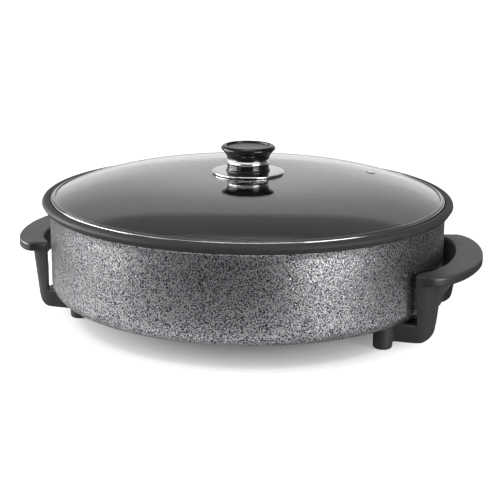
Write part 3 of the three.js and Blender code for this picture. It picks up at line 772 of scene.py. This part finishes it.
def make_dome_tree():
    """Domed glass: a height that falls with a power of the radius, over and under, closed at its edges."""
    tree, given, outside = start_shape_tree("domed glass", {
        "Edge radius": 0.2, "Hole radius": 0.004, "Foot height": 0.1, "Rise": 0.02, "Span": 0.2,
        "Power": 4.0, "Thickness": 0.004, "Rings": 40, "Sides": 240})

    def do(*what):
        return calc(tree, *what)

    columns = do("MULTIPLY", given["Rings"], 2.0)
    grid = place_node(tree, "GeometryNodeMeshGrid", {
        "Size X": 1.0, "Size Y": 1.0, "Vertices X": do("ADD", columns, 1.0),
        "Vertices Y": do("ADD", given["Sides"], 1.0)})
    spot = place_node(tree, "GeometryNodeInputPosition")
    place = place_node(tree, "ShaderNodeSeparateXYZ", {0: spot}).outputs
    across = do("MULTIPLY", do("ADD", place[0], 0.5), columns)
    column = do("FLOORED_MODULO", do("ROUND", across), columns)
    last = do("SUBTRACT", given["Rings"], 1.0)
    under = do("GREATER_THAN", column, do("ADD", last, 0.5))
    back = do("SUBTRACT", do("ADD", columns, -1.0), column)
    step = do("ADD", column, do("MULTIPLY", under, do("SUBTRACT", back, column)))
    eased = do("SINE", do("MULTIPLY", do("DIVIDE", step, last), math.pi / 2))
    reach = do("SUBTRACT", given["Edge radius"], given["Hole radius"])
    radius = do("MULTIPLY_ADD", reach, eased, given["Hole radius"])
    fall = do("POWER", do("DIVIDE", radius, given["Span"]), given["Power"])
    height = do("MULTIPLY_ADD", given["Rise"], do("SUBTRACT", 1.0, fall), given["Foot height"])
    height = do("SUBTRACT", height, do("MULTIPLY", under, given["Thickness"]))
    angle = do("MULTIPLY", do("ADD", place[1], 0.5), 2 * math.pi)
    moved = place_node(tree, "GeometryNodeSetPosition", {
        "Geometry": grid, "Position": place_node(tree, "ShaderNodeCombineXYZ", {
            0: do("MULTIPLY", radius, do("COSINE", angle)), 1: do("MULTIPLY", radius, do("SINE", angle)),
            2: height})})
    merged = place_node(tree, "GeometryNodeMergeByDistance", {"Geometry": moved, "Distance": 0.000002})
    smooth = place_node(tree, "GeometryNodeSetShadeSmooth", {"Geometry": merged})
    return end_shape_tree(tree, given, outside, smooth)


def make_tube_tree():
    """Round tube that follows a path of points."""
    tree, given, outside = start_shape_tree("tube on a path", {"Radius": 0.004, "Section sides": 24})
    path = place_node(tree, "GeometryNodeMeshToCurve", {"Mesh": given["Geometry"]})
    section = place_node(tree, "GeometryNodeCurvePrimitiveCircle", {
        "Resolution": given["Section sides"], "Radius": given["Radius"]})
    tube = place_node(tree, "GeometryNodeCurveToMesh", {
        "Curve": path, "Profile Curve": section, "Fill Caps": True})
    smooth = place_node(tree, "GeometryNodeSetShadeSmooth", {"Geometry": tube})
    return end_shape_tree(tree, given, outside, smooth)


def make_screw_tree():
    """Screws on points, heads down, each with a chamfered head, a cross recess and a shank."""
    tree, given, outside = start_shape_tree("screws on points", {
        "Head radius": 0.0035, "Head height": 0.0028, "Shank radius": 0.002, "Shank length": 0.017,
        "Recess width": 0.0009, "Recess depth": 0.0011})

    def move_up(mesh, height):
        shift = place_node(tree, "ShaderNodeCombineXYZ", {2: height})
        return place_node(tree, "GeometryNodeTransform", {"Geometry": mesh, "Translation": shift})

    def cylinder(top, bottom, depth, height):
        return move_up(place_node(tree, "GeometryNodeMeshCone", {
            "Vertices": 32, "Radius Top": top, "Radius Bottom": bottom, "Depth": depth}), height)

    edge = calc(tree, "MULTIPLY", given["Head height"], HEAD_CHAMFER_SHARE)
    low = calc(tree, "MULTIPLY", given["Head height"], -1.0)
    tall = calc(tree, "SUBTRACT", given["Head height"], edge)
    crown = calc(tree, "SUBTRACT", given["Head radius"], edge)
    whole = place_node(tree, "GeometryNodeMeshBoolean", operation="UNION", solver="EXACT")
    fill(tree, whole, {"Mesh 2": [
        cylinder(given["Head radius"], crown, edge, low),
        cylinder(given["Head radius"], given["Head radius"], tall, calc(tree, "ADD", low, edge)),
        cylinder(given["Shank radius"], given["Shank radius"], given["Shank length"], 0.0)]})
    span = calc(tree, "MULTIPLY", given["Head radius"], RECESS_SPAN_SHARE)
    deep = calc(tree, "MULTIPLY", given["Recess depth"], 2.0)
    bars = []
    for lengthwise in (0, 1):
        extent = place_node(tree, "ShaderNodeCombineXYZ", {
            lengthwise: span, 1 - lengthwise: given["Recess width"], 2: deep})
        bars.append(move_up(place_node(tree, "GeometryNodeMeshCube", {"Size": extent}), low))
    cut = place_node(tree, "GeometryNodeMeshBoolean", operation="DIFFERENCE", solver="EXACT")
    fill(tree, cut, {"Mesh 1": whole, "Mesh 2": bars})
    placed = place_node(tree, "GeometryNodeInstanceOnPoints", {"Points": given["Geometry"], "Instance": cut})
    return end_shape_tree(tree, given, outside, placed)


# Lid and knob


def dome_height(radius):
    return DOME_FOOT + DOME_RISE * (1 - (radius / DOME_SPAN) ** DOME_POWER)


def make_lid_rim():
    """Folded steel band round the glass, rounded over its edge."""
    foot = PAN_HEIGHT - STEP_DEPTH + SEAT_GAP
    inner = RIM_RADIUS - RIM_FLANGE
    back = RIM_RADIUS - RIM_THICKNESS
    over = dome_height(inner) + SEAT_GAP
    under = dome_height(inner) - GLASS_THICKNESS - SEAT_GAP
    edge = dome_height(back)
    crest = edge + RIM_CREST
    fall = (over + RIM_THICKNESS - crest) / RIM_FLANGE
    bead = (RIM_RADIUS - RIM_BEAD, crest + fall * RIM_BEAD)
    strip = (bead[0] - RIM_GROOVE, crest + fall * (RIM_BEAD + RIM_GROOVE))
    corners = [
        (back - RIM_THICKNESS, foot), (RIM_RADIUS, foot), (RIM_RADIUS, crest),
        bead, (bead[0], bead[1] - RIM_GROOVE_DEPTH), (strip[0], strip[1] - RIM_GROOVE_DEPTH), strip,
        (inner, over + RIM_THICKNESS), (inner, over), (back, edge + SEAT_GAP),
        (back, edge - GLASS_THICKNESS - SEAT_GAP), (inner, under), (inner, under - RIM_THICKNESS),
    ]
    radii = [0.3, 0.3, 0.7, 0.2, 0.1, 0.1, 0.15, 0.3, 0.2, 0.1, 0.1, 0.2, 0.3]
    section = rounded_section(corners, radii)
    # Points of the section where the groove, given black phenolic as a painted shadow line, and then the
    # dull flange begin and end
    groove_start, groove_end, strip_end = 19, 31, 35
    runs = [(section[:groove_start + 1], 0), (section[groove_start:groove_end + 1], 2),
            (section[groove_end:strip_end + 1], 1), (section[strip_end:], 0)]
    return turn("steel_lid_band", runs, [bright_steel, dull_steel, gloss_phenolic], SHELL_SIDES)


def make_lid_glass():
    sizes = {"Edge radius": GLASS_RADIUS * MM, "Hole radius": GLASS_HOLE * MM,
             "Foot height": DOME_FOOT * MM, "Rise": DOME_RISE * MM, "Span": DOME_SPAN * MM,
             "Power": DOME_POWER, "Thickness": GLASS_THICKNESS * MM, "Rings": 44, "Sides": SHELL_SIDES}
    return grow("domed_lid_glass", make_dome_tree(), sizes, clear_glass)


def raised(height, *profile):
    """Points of a section, raised by a height."""
    return [(radius, height + offset) for radius, offset in profile]


def ring_section(bore, first, last, side):
    """Closed section of a ring, from one end of its bore round its side to the other."""
    return [(bore, first), *side, (bore, last), (bore, first)]


def washer(low, high, outer):
    corners = [(SCREW_BORE, low), (outer, low), (outer, high), (SCREW_BORE, high)]
    return rounded_section(corners, [0.15] * 4)


def add_knob():
    """The knob's stack, from the saucer up to the disc in the cap, and what holds it under the glass."""
    saucer = smooth_through(raised(SKIRT_TOP, (21.0, 0), (28.0, 0), (33.0, -0.08), (35.9, -0.22)), 6)
    saucer += arc((35.95, SKIRT_TOP - 1.07), 0.85, 75, -90, 14)
    saucer += smooth_through(raised(SKIRT_BOTTOM, (34.6, -0.6), (28.0, -0.12), (21.0, 0)), 4)
    skirt = ring_section(SCREW_BORE, SKIRT_TOP, SKIRT_BOTTOM, saucer)

    foot = raised(KNOB_BASE_BOTTOM, (22.7, 0), (22.55, 0.7), (21.95, 1.8), (21.5, 3.3), (21.4, 5.0))
    foot = smooth_through(foot + [(21.4, KNOB_BASE_TOP - 0.4)], 5) + [(21.05, KNOB_BASE_TOP)]
    collar = ring_section(COLLAR_BORE, KNOB_BASE_BOTTOM, KNOB_BASE_TOP, foot)

    bulge = raised(KNOB_RING_BOTTOM, (21.3, 0.2), (21.7, 1.1), (21.5, 2.3))
    bulge = smooth_through(bulge + raised(KNOB_RING_TOP, (20.9, -1.1), (20.35, -0.2)), 5)
    bulge = [(20.9, KNOB_RING_BOTTOM)] + bulge + [(20.1, KNOB_RING_TOP)]
    band = ring_section(COLLAR_BORE, KNOB_RING_BOTTOM, KNOB_RING_TOP, bulge)

    rise = CAP_TOP - CAP_TOP_ROUND - CAP_BOTTOM
    flare = raised(
        CAP_BOTTOM, (21.3, 0), (21.6, 0.4), (21.68, 0.16 * rise), (22.1, 0.3 * rise), (23.7, 0.54 * rise),
        (25.9, 0.78 * rise))
    flare = smooth_through(flare + [(CAP_RADIUS - 0.12, CAP_TOP - CAP_TOP_ROUND - 0.4)], 6)
    recess = INSERT_RADIUS + SEAT_GAP
    shelf = CAP_TOP - INSERT_RECESS
    brim = arc((CAP_RADIUS - CAP_TOP_ROUND, CAP_TOP - CAP_TOP_ROUND), CAP_TOP_ROUND, 0, 90, 14)
    brim += round_corner(brim[-1], (recess + 0.2, CAP_TOP), (recess, shelf), 0.9)
    bore_top = KNOB_BASE_BOTTOM + SCREW_BORE_DEPTH
    core = [(0, bore_top), (SCREW_BORE, bore_top), (SCREW_BORE, KNOB_BASE_BOTTOM),
            (CAP_CORE, KNOB_BASE_BOTTOM), (CAP_CORE, CAP_BOTTOM), (21.3, CAP_BOTTOM)]
    cap = core + flare[1:] + brim + [(recess, shelf), (0, shelf)]

    disc_low, disc_high = shelf + 0.3, shelf + 1.3
    disc = [(0, disc_low), (INSERT_RADIUS, disc_low)]
    disc += round_corner((INSERT_RADIUS, disc_low), (INSERT_RADIUS, disc_high), (20, disc_high), 0.35)
    disc += [(19.6, disc_high), (19.2, disc_high - 0.14), (0, disc_high - 0.14)]

    for name, section, finish, slot, node in (
            ("polished_saucer", skirt, saucer_chrome_painted_shade, "chrome", "knob_skirt"),
            ("black_collar", collar, gloss_phenolic, "gloss_black", "knob_base"),
            ("bright_ring", band, chrome_plate, "chrome", "knob_ring"),
            ("flared_cap", cap, gloss_phenolic, "gloss_black", "knob_cap"),
            ("cap_disc", disc, insert_metal, "insert_grey", "knob_insert"),
            ("saucer_gasket", washer(GASKET_BOTTOM, GASKET_BOTTOM + 0.8, 19.0),
             soft_rubber, "rubber", "knob_gasket"),
            ("underside_gasket", washer(UNDER_GLASS - 1.1, UNDER_GLASS - SEAT_GAP, 9.5),
             soft_rubber, "rubber", "inner_gasket"),
            ("underside_washer", washer(UNDER_GLASS - 2.6, UNDER_GLASS - 1.4, 9.5),
             zinc_steel, "steel", "knob_washer")):
        finish_piece(turn(name, [(section, 0)], [finish], KNOB_SIDES), "lid", slot, node)
    knob_screw = grow("knob_fixing", SCREWS, {
        "Head radius": 0.0055, "Head height": 0.0026, "Shank radius": 0.0024,
        "Shank length": (KNOB_BASE_BOTTOM + SCREW_REACH - KNOB_SCREW_SEAT) * MM,
        "Recess width": 0.0013, "Recess depth": 0.0014}, zinc_steel, [(0, 0, KNOB_SCREW_SEAT)])
    finish_piece(knob_screw, "lid", "steel", "knob_screw")


def make_steam_vent():
    """Eyelet through the glass, square to it, with a rolled flange on each side."""
    top, bottom = 0.6, -GLASS_THICKNESS - 0.6
    corners = [(1.9, bottom), (4.6, bottom), (4.6, bottom + 0.8), (2.9, bottom + 0.8),
               (2.9, 0.02), (4.6, 0.02), (3.3, top), (1.9, top)]
    section = rounded_section(corners, [0.3, 0.35, 0.35, 0.1, 0, 0, 0.2, 0.3])
    shoulder = section.index(corners[4])
    # The shoulder's sloped face takes black rubber as painted shade, a dark outline round the steel eyelet
    runs = [(section[:shoulder + 1], 0), (section[shoulder:shoulder + 3], 1), (section[shoulder + 2:], 0)]
    piece = turn("steam_eyelet", runs, [chrome_plate, soft_rubber], SMALL_SIDES)
    radius = math.hypot(*VENT_PLACE)
    slope = DOME_POWER * DOME_RISE / DOME_SPAN * (radius / DOME_SPAN) ** (DOME_POWER - 1)
    place = Vector((*VENT_PLACE, dome_height(radius))) * MM
    piece.data.transform(
        Matrix.Translation(place) @ Matrix.Rotation(math.atan2(VENT_PLACE[1], VENT_PLACE[0]), 4, "Z")
        @ Matrix.Rotation(math.atan(slope), 4, "Y"))
    return piece


# Castings, element and inlet under the base


def make_base_castings():
    """Channel ribs, probe saddle and screw bosses, cast under the base."""
    top = BASE_HEIGHT + CAST_OVERLAP
    low = ELEMENT_HEIGHT - ELEMENT_RADIUS
    clear = LEAD_OFFSET + LEAD_BEND + ELEMENT_RADIUS + CHANNEL_GAP
    pieces = []
    for sign in (-1, 1):
        near = RING_RADIUS + sign * (ELEMENT_RADIUS + CHANNEL_GAP)
        near, far = sorted((near, near + sign * CHANNEL_WALL))
        start = math.asin(clear / near)
        angles = [lerp(start, 2 * math.pi - start, i / CHANNEL_STEPS) for i in range(CHANNEL_STEPS + 1)]
        pieces.append(loft("rib", [
            [(radius * math.cos(a), radius * math.sin(a), height)
             for radius, height in ((near, low), (far, low), (far, top), (near, top))]
            for a in angles], closed=False))
    inner, outer = [], []
    for a in np.linspace(0, 2 * math.pi, SMALL_SIDES, endpoint=False):
        inner.append((SADDLE_BORE * math.cos(a), PROBE_HEIGHT + SADDLE_BORE * math.sin(a)))
        reach = min(SADDLE_HALF_WIDTH / max(abs(math.cos(a)), 1e-9),
                    SADDLE_HALF_HEIGHT / max(abs(math.sin(a)), 1e-9))
        outer.append((reach * math.cos(a), min(PROBE_HEIGHT + reach * math.sin(a), top)))
    inner = [(y, min(z, BASE_HEIGHT + 0.4)) for y, z in inner]
    pieces.append(loft("saddle", [
        [(SADDLE_ENDS[end], y, z) for y, z in loop]
        for end, loop in ((0, inner), (0, outer), (1, outer), (1, inner))], closed=True))
    for places, radius, bottom in BOSSES:
        for x, y in places:
            section = [(0, bottom), (radius - BOSS_CHAMFER, bottom), (radius, bottom + BOSS_CHAMFER),
                       (radius, top)]
            boss = turn("boss", [(section, 0)], [cast_base], SMALL_SIDES)
            boss.data.transform(Matrix.Translation(Vector((x, y, 0)) * MM))
            pieces.append(boss)
    return weld("base_castings", pieces)


def make_element():
    """Sheathed element: in along one lead, round the ring and out along the other."""
    bend_y = LEAD_OFFSET + LEAD_BEND
    bend_x = math.sqrt((RING_RADIUS + LEAD_BEND) ** 2 - bend_y ** 2)
    turned = math.degrees(math.atan2(bend_y, bend_x))
    half = [(LEAD_END, LEAD_OFFSET), (lerp(LEAD_END, bend_x, 0.5), LEAD_OFFSET)]
    half += arc((bend_x, bend_y), LEAD_BEND, -90, turned - 180, 14)
    path = half + arc((0, 0), RING_RADIUS, turned, 360 - turned, 180)[1:-1]
    path += [(x, -y) for x, y in reversed(half)]
    points = [(x, y, ELEMENT_HEIGHT) for x, y in path]
    edges = [(i, i + 1) for i in range(len(points) - 1)]
    return grow("sheathed_element", make_tube_tree(), {
        "Radius": ELEMENT_RADIUS * MM, "Section sides": 24}, burnt_steel, points, edges)


def add_along_x(name, section, finish, y, z, slot, node):
    """Turned piece of the pan whose section runs along X, as pairs of radius and X."""
    piece = turn(name, [(section, 0)], [finish], SMALL_SIDES)
    piece.data.transform(
        Matrix.Translation(Vector((0, y, z)) * MM) @ Matrix.Rotation(math.radians(90), 4, "Y"))
    finish_piece(piece, "pan", slot, node)


def add_inlet():
    start = LEAD_END + SEAT_GAP
    pin = [(0, start), (2.35, start), (2.35, start + 26.2)]
    pin += arc((0.9, start + 26.5), 1.45, 0, 90, 6) + [(0, start + 27.95)]
    bead = rounded_section(
        [(2.65, start), (3.8, start), (3.8, start + 8), (2.65, start + 8)], [0.3, 0.5, 0.5, 0.3])
    sleeve = [(0, 110.6), (4.6, 110.6), (5.2, 111.2), (5.2, 172.3), (4.9, 172.6), (3.6, 172.6),
              (3.6, 113.6), (0, 113.6)]
    for side, y in (("front", -LEAD_OFFSET), ("rear", LEAD_OFFSET)):
        add_along_x(f"contact_pin_{side}", pin, bright_steel, y, ELEMENT_HEIGHT,
                    "steel", f"terminal_pin_{side}")
        add_along_x(f"ceramic_bead_{side}", bead, fired_ceramic, y, ELEMENT_HEIGHT,
                    "ceramic", f"terminal_insulator_{side}")
    add_along_x("probe_tube", sleeve, zinc_steel, 0, PROBE_HEIGHT, "steel", "probe_sleeve")


# Stage, lights and camera


def bearings(*stops):
    """Levels by bearing from the camera, in degrees and positive toward the right, as shares of a turn."""
    return [((degrees + 180) / 360, level) for degrees, level in stops]


def elevations(*stops):
    """Levels by height above the horizon in degrees, as shares of a right angle."""
    return [(degrees / 90, level) for degrees, level in stops]


# Glow of the floor for the camera by distance from the middle, weak near it: a painted shadow under the pan
FLOOR_GLOW_PAINTED_SHADOW_LEVELS = [
    (0, 0.12), (0.3, 0.25), (0.5, 0.4), (0.6, 0.62), (0.7, 0.72), (0.8, 0.85), (0.9, 1), (1, 1)]
BEARING_LEVELS = bearings(
    (-180, 1.0), (-150, 1.0), (-125, 1.6), (-62, 1.5), (-38, 0.03), (16, 0.03), (30, 1.0), (56, 1.0),
    (80, 0.15), (125, 0.2), (155, 1.0), (180, 1.0))
HEIGHT_LEVELS = elevations(
    (0, 0.95), (5, 0.92), (10, 0.85), (14, 0.68), (24, 0.56), (34.5, 0.62), (37, 0.34), (60, 0.3),
    (90, 0.4))
OVERHEAD_LEVELS = elevations((0, 0), (26, 0), (32, 0.9), (64, 0.9), (72, 0))
TURNED = math.radians(CAMERA_TURN)
AWAY = (-math.sin(TURNED), math.cos(TURNED), 0)
TOWARD = (math.sin(TURNED), -math.cos(TURNED), 0)
ASIDE = (math.cos(TURNED), math.sin(TURNED), 0)


def make_ramp(tree, value, stops):
    """Grey level that follows a value through some stops."""
    ramp = place_node(tree, "ShaderNodeValToRGB", {0: value})
    elements = ramp.color_ramp.elements
    while len(elements) < len(stops):
        elements.new(0.5)
    for element, (place, level) in zip(elements, stops):
        element.position = place
        element.color = (level, level, level, 1)
    return ramp


def seen_directly(tree):
    """Whether a ray comes from the camera, straight or through clear glass."""
    path = place_node(tree, "ShaderNodeLightPath").outputs
    bounces = calc(tree, "ADD", path["Diffuse Depth"], path["Glossy Depth"])
    straight = calc(tree, "LESS_THAN", bounces, 0.5)
    through = calc(tree, "MULTIPLY", path["Is Transmission Ray"], straight)
    return calc(tree, "MAXIMUM", path["Is Camera Ray"], through)


def make_stage():
    """Pale floor that runs out of sight; it keeps the pan's real shadow, and its glow fades near the middle
    as a painted shadow.
    """
    floor_paint, tree, surface = start_finish("studio floor", FLOOR_COLOR, 0.8)
    seen = seen_directly(tree)
    where = place_node(tree, "ShaderNodeTexCoord").outputs["Object"]
    from_middle = calc_vector(tree, "LENGTH", where).outputs["Value"]
    bounce_end = map_range(tree, from_middle, 0.26, 0.42)
    unseen = mix_colors(tree, bounce_end, FLOOR_NEAR_COLOR, FLOOR_FAR_COLOR)
    # Painted shadow: the floor's glow for the camera is weak under the pan and full beyond it
    glow_with_painted_shadow = make_ramp(tree, map_range(tree, from_middle, 0.12, 0.22), FLOOR_GLOW_PAINTED_SHADOW_LEVELS)
    behind = map_range(tree, along(tree, where, AWAY), 0.45, 0.7, 0.0, 0.5)
    fill(tree, surface, {
        "Specular IOR Level": 0.1, "Emission Color": (1, 1, 1, 1),
        "Base Color": mix_colors(tree, seen, unseen, FLOOR_COLOR),
        "Emission Strength": calc(tree, "MAXIMUM", calc(tree, "MULTIPLY", seen, glow_with_painted_shadow), behind)})
    corners = [(-1, -1, 0), (1, -1, 0), (1, 1, 0), (-1, 1, 0)]
    floor = make_object("studio_floor", np.array(corners) * FLOOR_HALF, [(0, 1, 2, 3)], [floor_paint])


def light_from(name, turn_degrees, distance, height, size, power):
    """Softbox at an angle from the camera's own direction, positive toward the right."""
    angle = math.radians(CAMERA_TURN + turn_degrees)
    lamp = bpy.data.lights.new(name, "AREA")
    lamp.shape = "RECTANGLE"
    lamp.size, lamp.size_y = size
    lamp.energy = power
    place = Vector((math.sin(angle) * distance, -math.cos(angle) * distance, height))
    facing = (place - Vector(CAMERA_TARGET)).to_track_quat("Z", "Y")
    add_object(name, lamp).matrix_world = Matrix.Translation(place) @ facing.to_matrix().to_4x4()


def make_camera():
    """Camera at the photograph's angle, for a square frame."""
    lifted, rolled = math.radians(CAMERA_LIFT), math.radians(CAMERA_ROLL)
    back = Vector((
        math.sin(TURNED) * math.cos(lifted), -math.cos(TURNED) * math.cos(lifted), math.sin(lifted)))
    right = (-back).cross(Vector((0, 0, 1))).normalized()
    up = right.cross(-back)
    level = right * math.cos(rolled) + up * math.sin(rolled)
    upright = up * math.cos(rolled) - right * math.sin(rolled)
    camera = add_object("camera", bpy.data.cameras.new("camera"))
    turning = Matrix((level, upright, back)).transposed().to_4x4()
    camera.matrix_world = Matrix.Translation(Vector(CAMERA_TARGET) + back * CAMERA_DISTANCE) @ turning
    camera.data.sensor_width = SENSOR_WIDTH
    camera.data.lens = FOCAL_PIXELS * SENSOR_WIDTH / FRAME_PIXELS
    camera.data.shift_x = (FRAME_PIXELS / 2 - CENTER_PIXEL[0]) / FRAME_PIXELS
    camera.data.shift_y = (CENTER_PIXEL[1] - FRAME_PIXELS / 2) / FRAME_PIXELS
    bpy.context.scene.camera = camera


def make_world():
    """White for the camera; else levels by bearing and height, with a pale panel overhead in front."""
    world = bpy.data.worlds.new("studio")
    bpy.context.scene.world = world
    world.use_nodes = True
    tree = world.node_tree
    tree.nodes.clear()
    where = place_node(tree, "ShaderNodeTexCoord").outputs["Generated"]
    toward = along(tree, where, TOWARD)
    bearing = calc(tree, "ARCTAN2", along(tree, where, ASIDE), toward)
    around = make_ramp(tree, map_range(tree, bearing, -math.pi, math.pi), BEARING_LEVELS)
    height = place_node(tree, "ShaderNodeSeparateXYZ", {0: where}).outputs["Z"]
    angle = calc(tree, "MULTIPLY", calc(tree, "ARCSINE", height), 2 / math.pi)
    upward = make_ramp(tree, angle, HEIGHT_LEVELS)
    level = calc_vector(tree, "MULTIPLY", around, upward)
    panel = make_ramp(tree, angle, OVERHEAD_LEVELS)
    overhead = calc(tree, "MULTIPLY", map_range(tree, toward, 0.05, 0.25), panel)
    whole = calc_vector(tree, "MAXIMUM", level, overhead)
    room = place_node(tree, "ShaderNodeBackground", {"Color": whole, "Strength": 1.0})
    white = place_node(tree, "ShaderNodeBackground", {"Color": (1, 1, 1, 1), "Strength": 1.0})
    seen = place_node(tree, "ShaderNodeMixShader", {0: seen_directly(tree), 1: room, 2: white})
    place_node(tree, "ShaderNodeOutputWorld", {0: seen})


SCREWS = make_screw_tree()

make_camera()
make_world()
make_stage()
light_from("left_softbox", -92, 1.3, 0.3, (1.4, 0.5), 30)
light_from("right_softbox", 44, 1.3, 0.3, (0.7, 0.5), 15)
light_from("near_left_softbox", -47, 1.4, 0.3, (0.3, 0.2), 0.9)
light_from("overhead_softbox", 0, 0.05, 1.6, (0.8, 0.3), 6.5)

finish_piece(make_pan_shell(), "pan", "hammered_coating", "pan_body")
finish_piece(make_base_castings(), "pan", "hammered_coating", "pan_body")
add_handles()
finish_piece(make_element(), "pan", "element_sheath", "heating_element")
add_inlet()
foot_screws = grow("foot_screws", SCREWS, {"Shank length": 0.0174}, zinc_steel,
                   [(x, y, FOOT_BORE_DEPTH - SEAT_GAP) for x, y in FOOT_PLACES])
foot_screw_nodes = [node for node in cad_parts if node.startswith("foot_screw")]
finish_piece(foot_screws, "pan", "steel", *foot_screw_nodes)
guard_screws = grow("guard_screws", SCREWS, {
    "Head radius": 0.0034, "Head height": 0.0022, "Shank radius": 0.0017, "Shank length": 0.0102},
    zinc_steel, [(x, y, GUARD_SCREW_SEAT) for x, y in GUARD_SCREW_PLACES])
finish_piece(guard_screws, "pan", "steel", "guard_screw_front", "guard_screw_rear")
# The guard keeps the shape of its solid and takes the handles' finish
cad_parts["socket_guard"].material_slots[0].material = satin_phenolic

finish_piece(make_lid_glass(), "lid", "lid_glass", "lid_glass")
finish_piece(make_lid_rim(), "lid", "steel", "lid_rim")
finish_piece(make_steam_vent(), "lid", "steel", "steam_vent")
add_knob()

bpy.context.scene.view_settings.view_transform = "Standard"
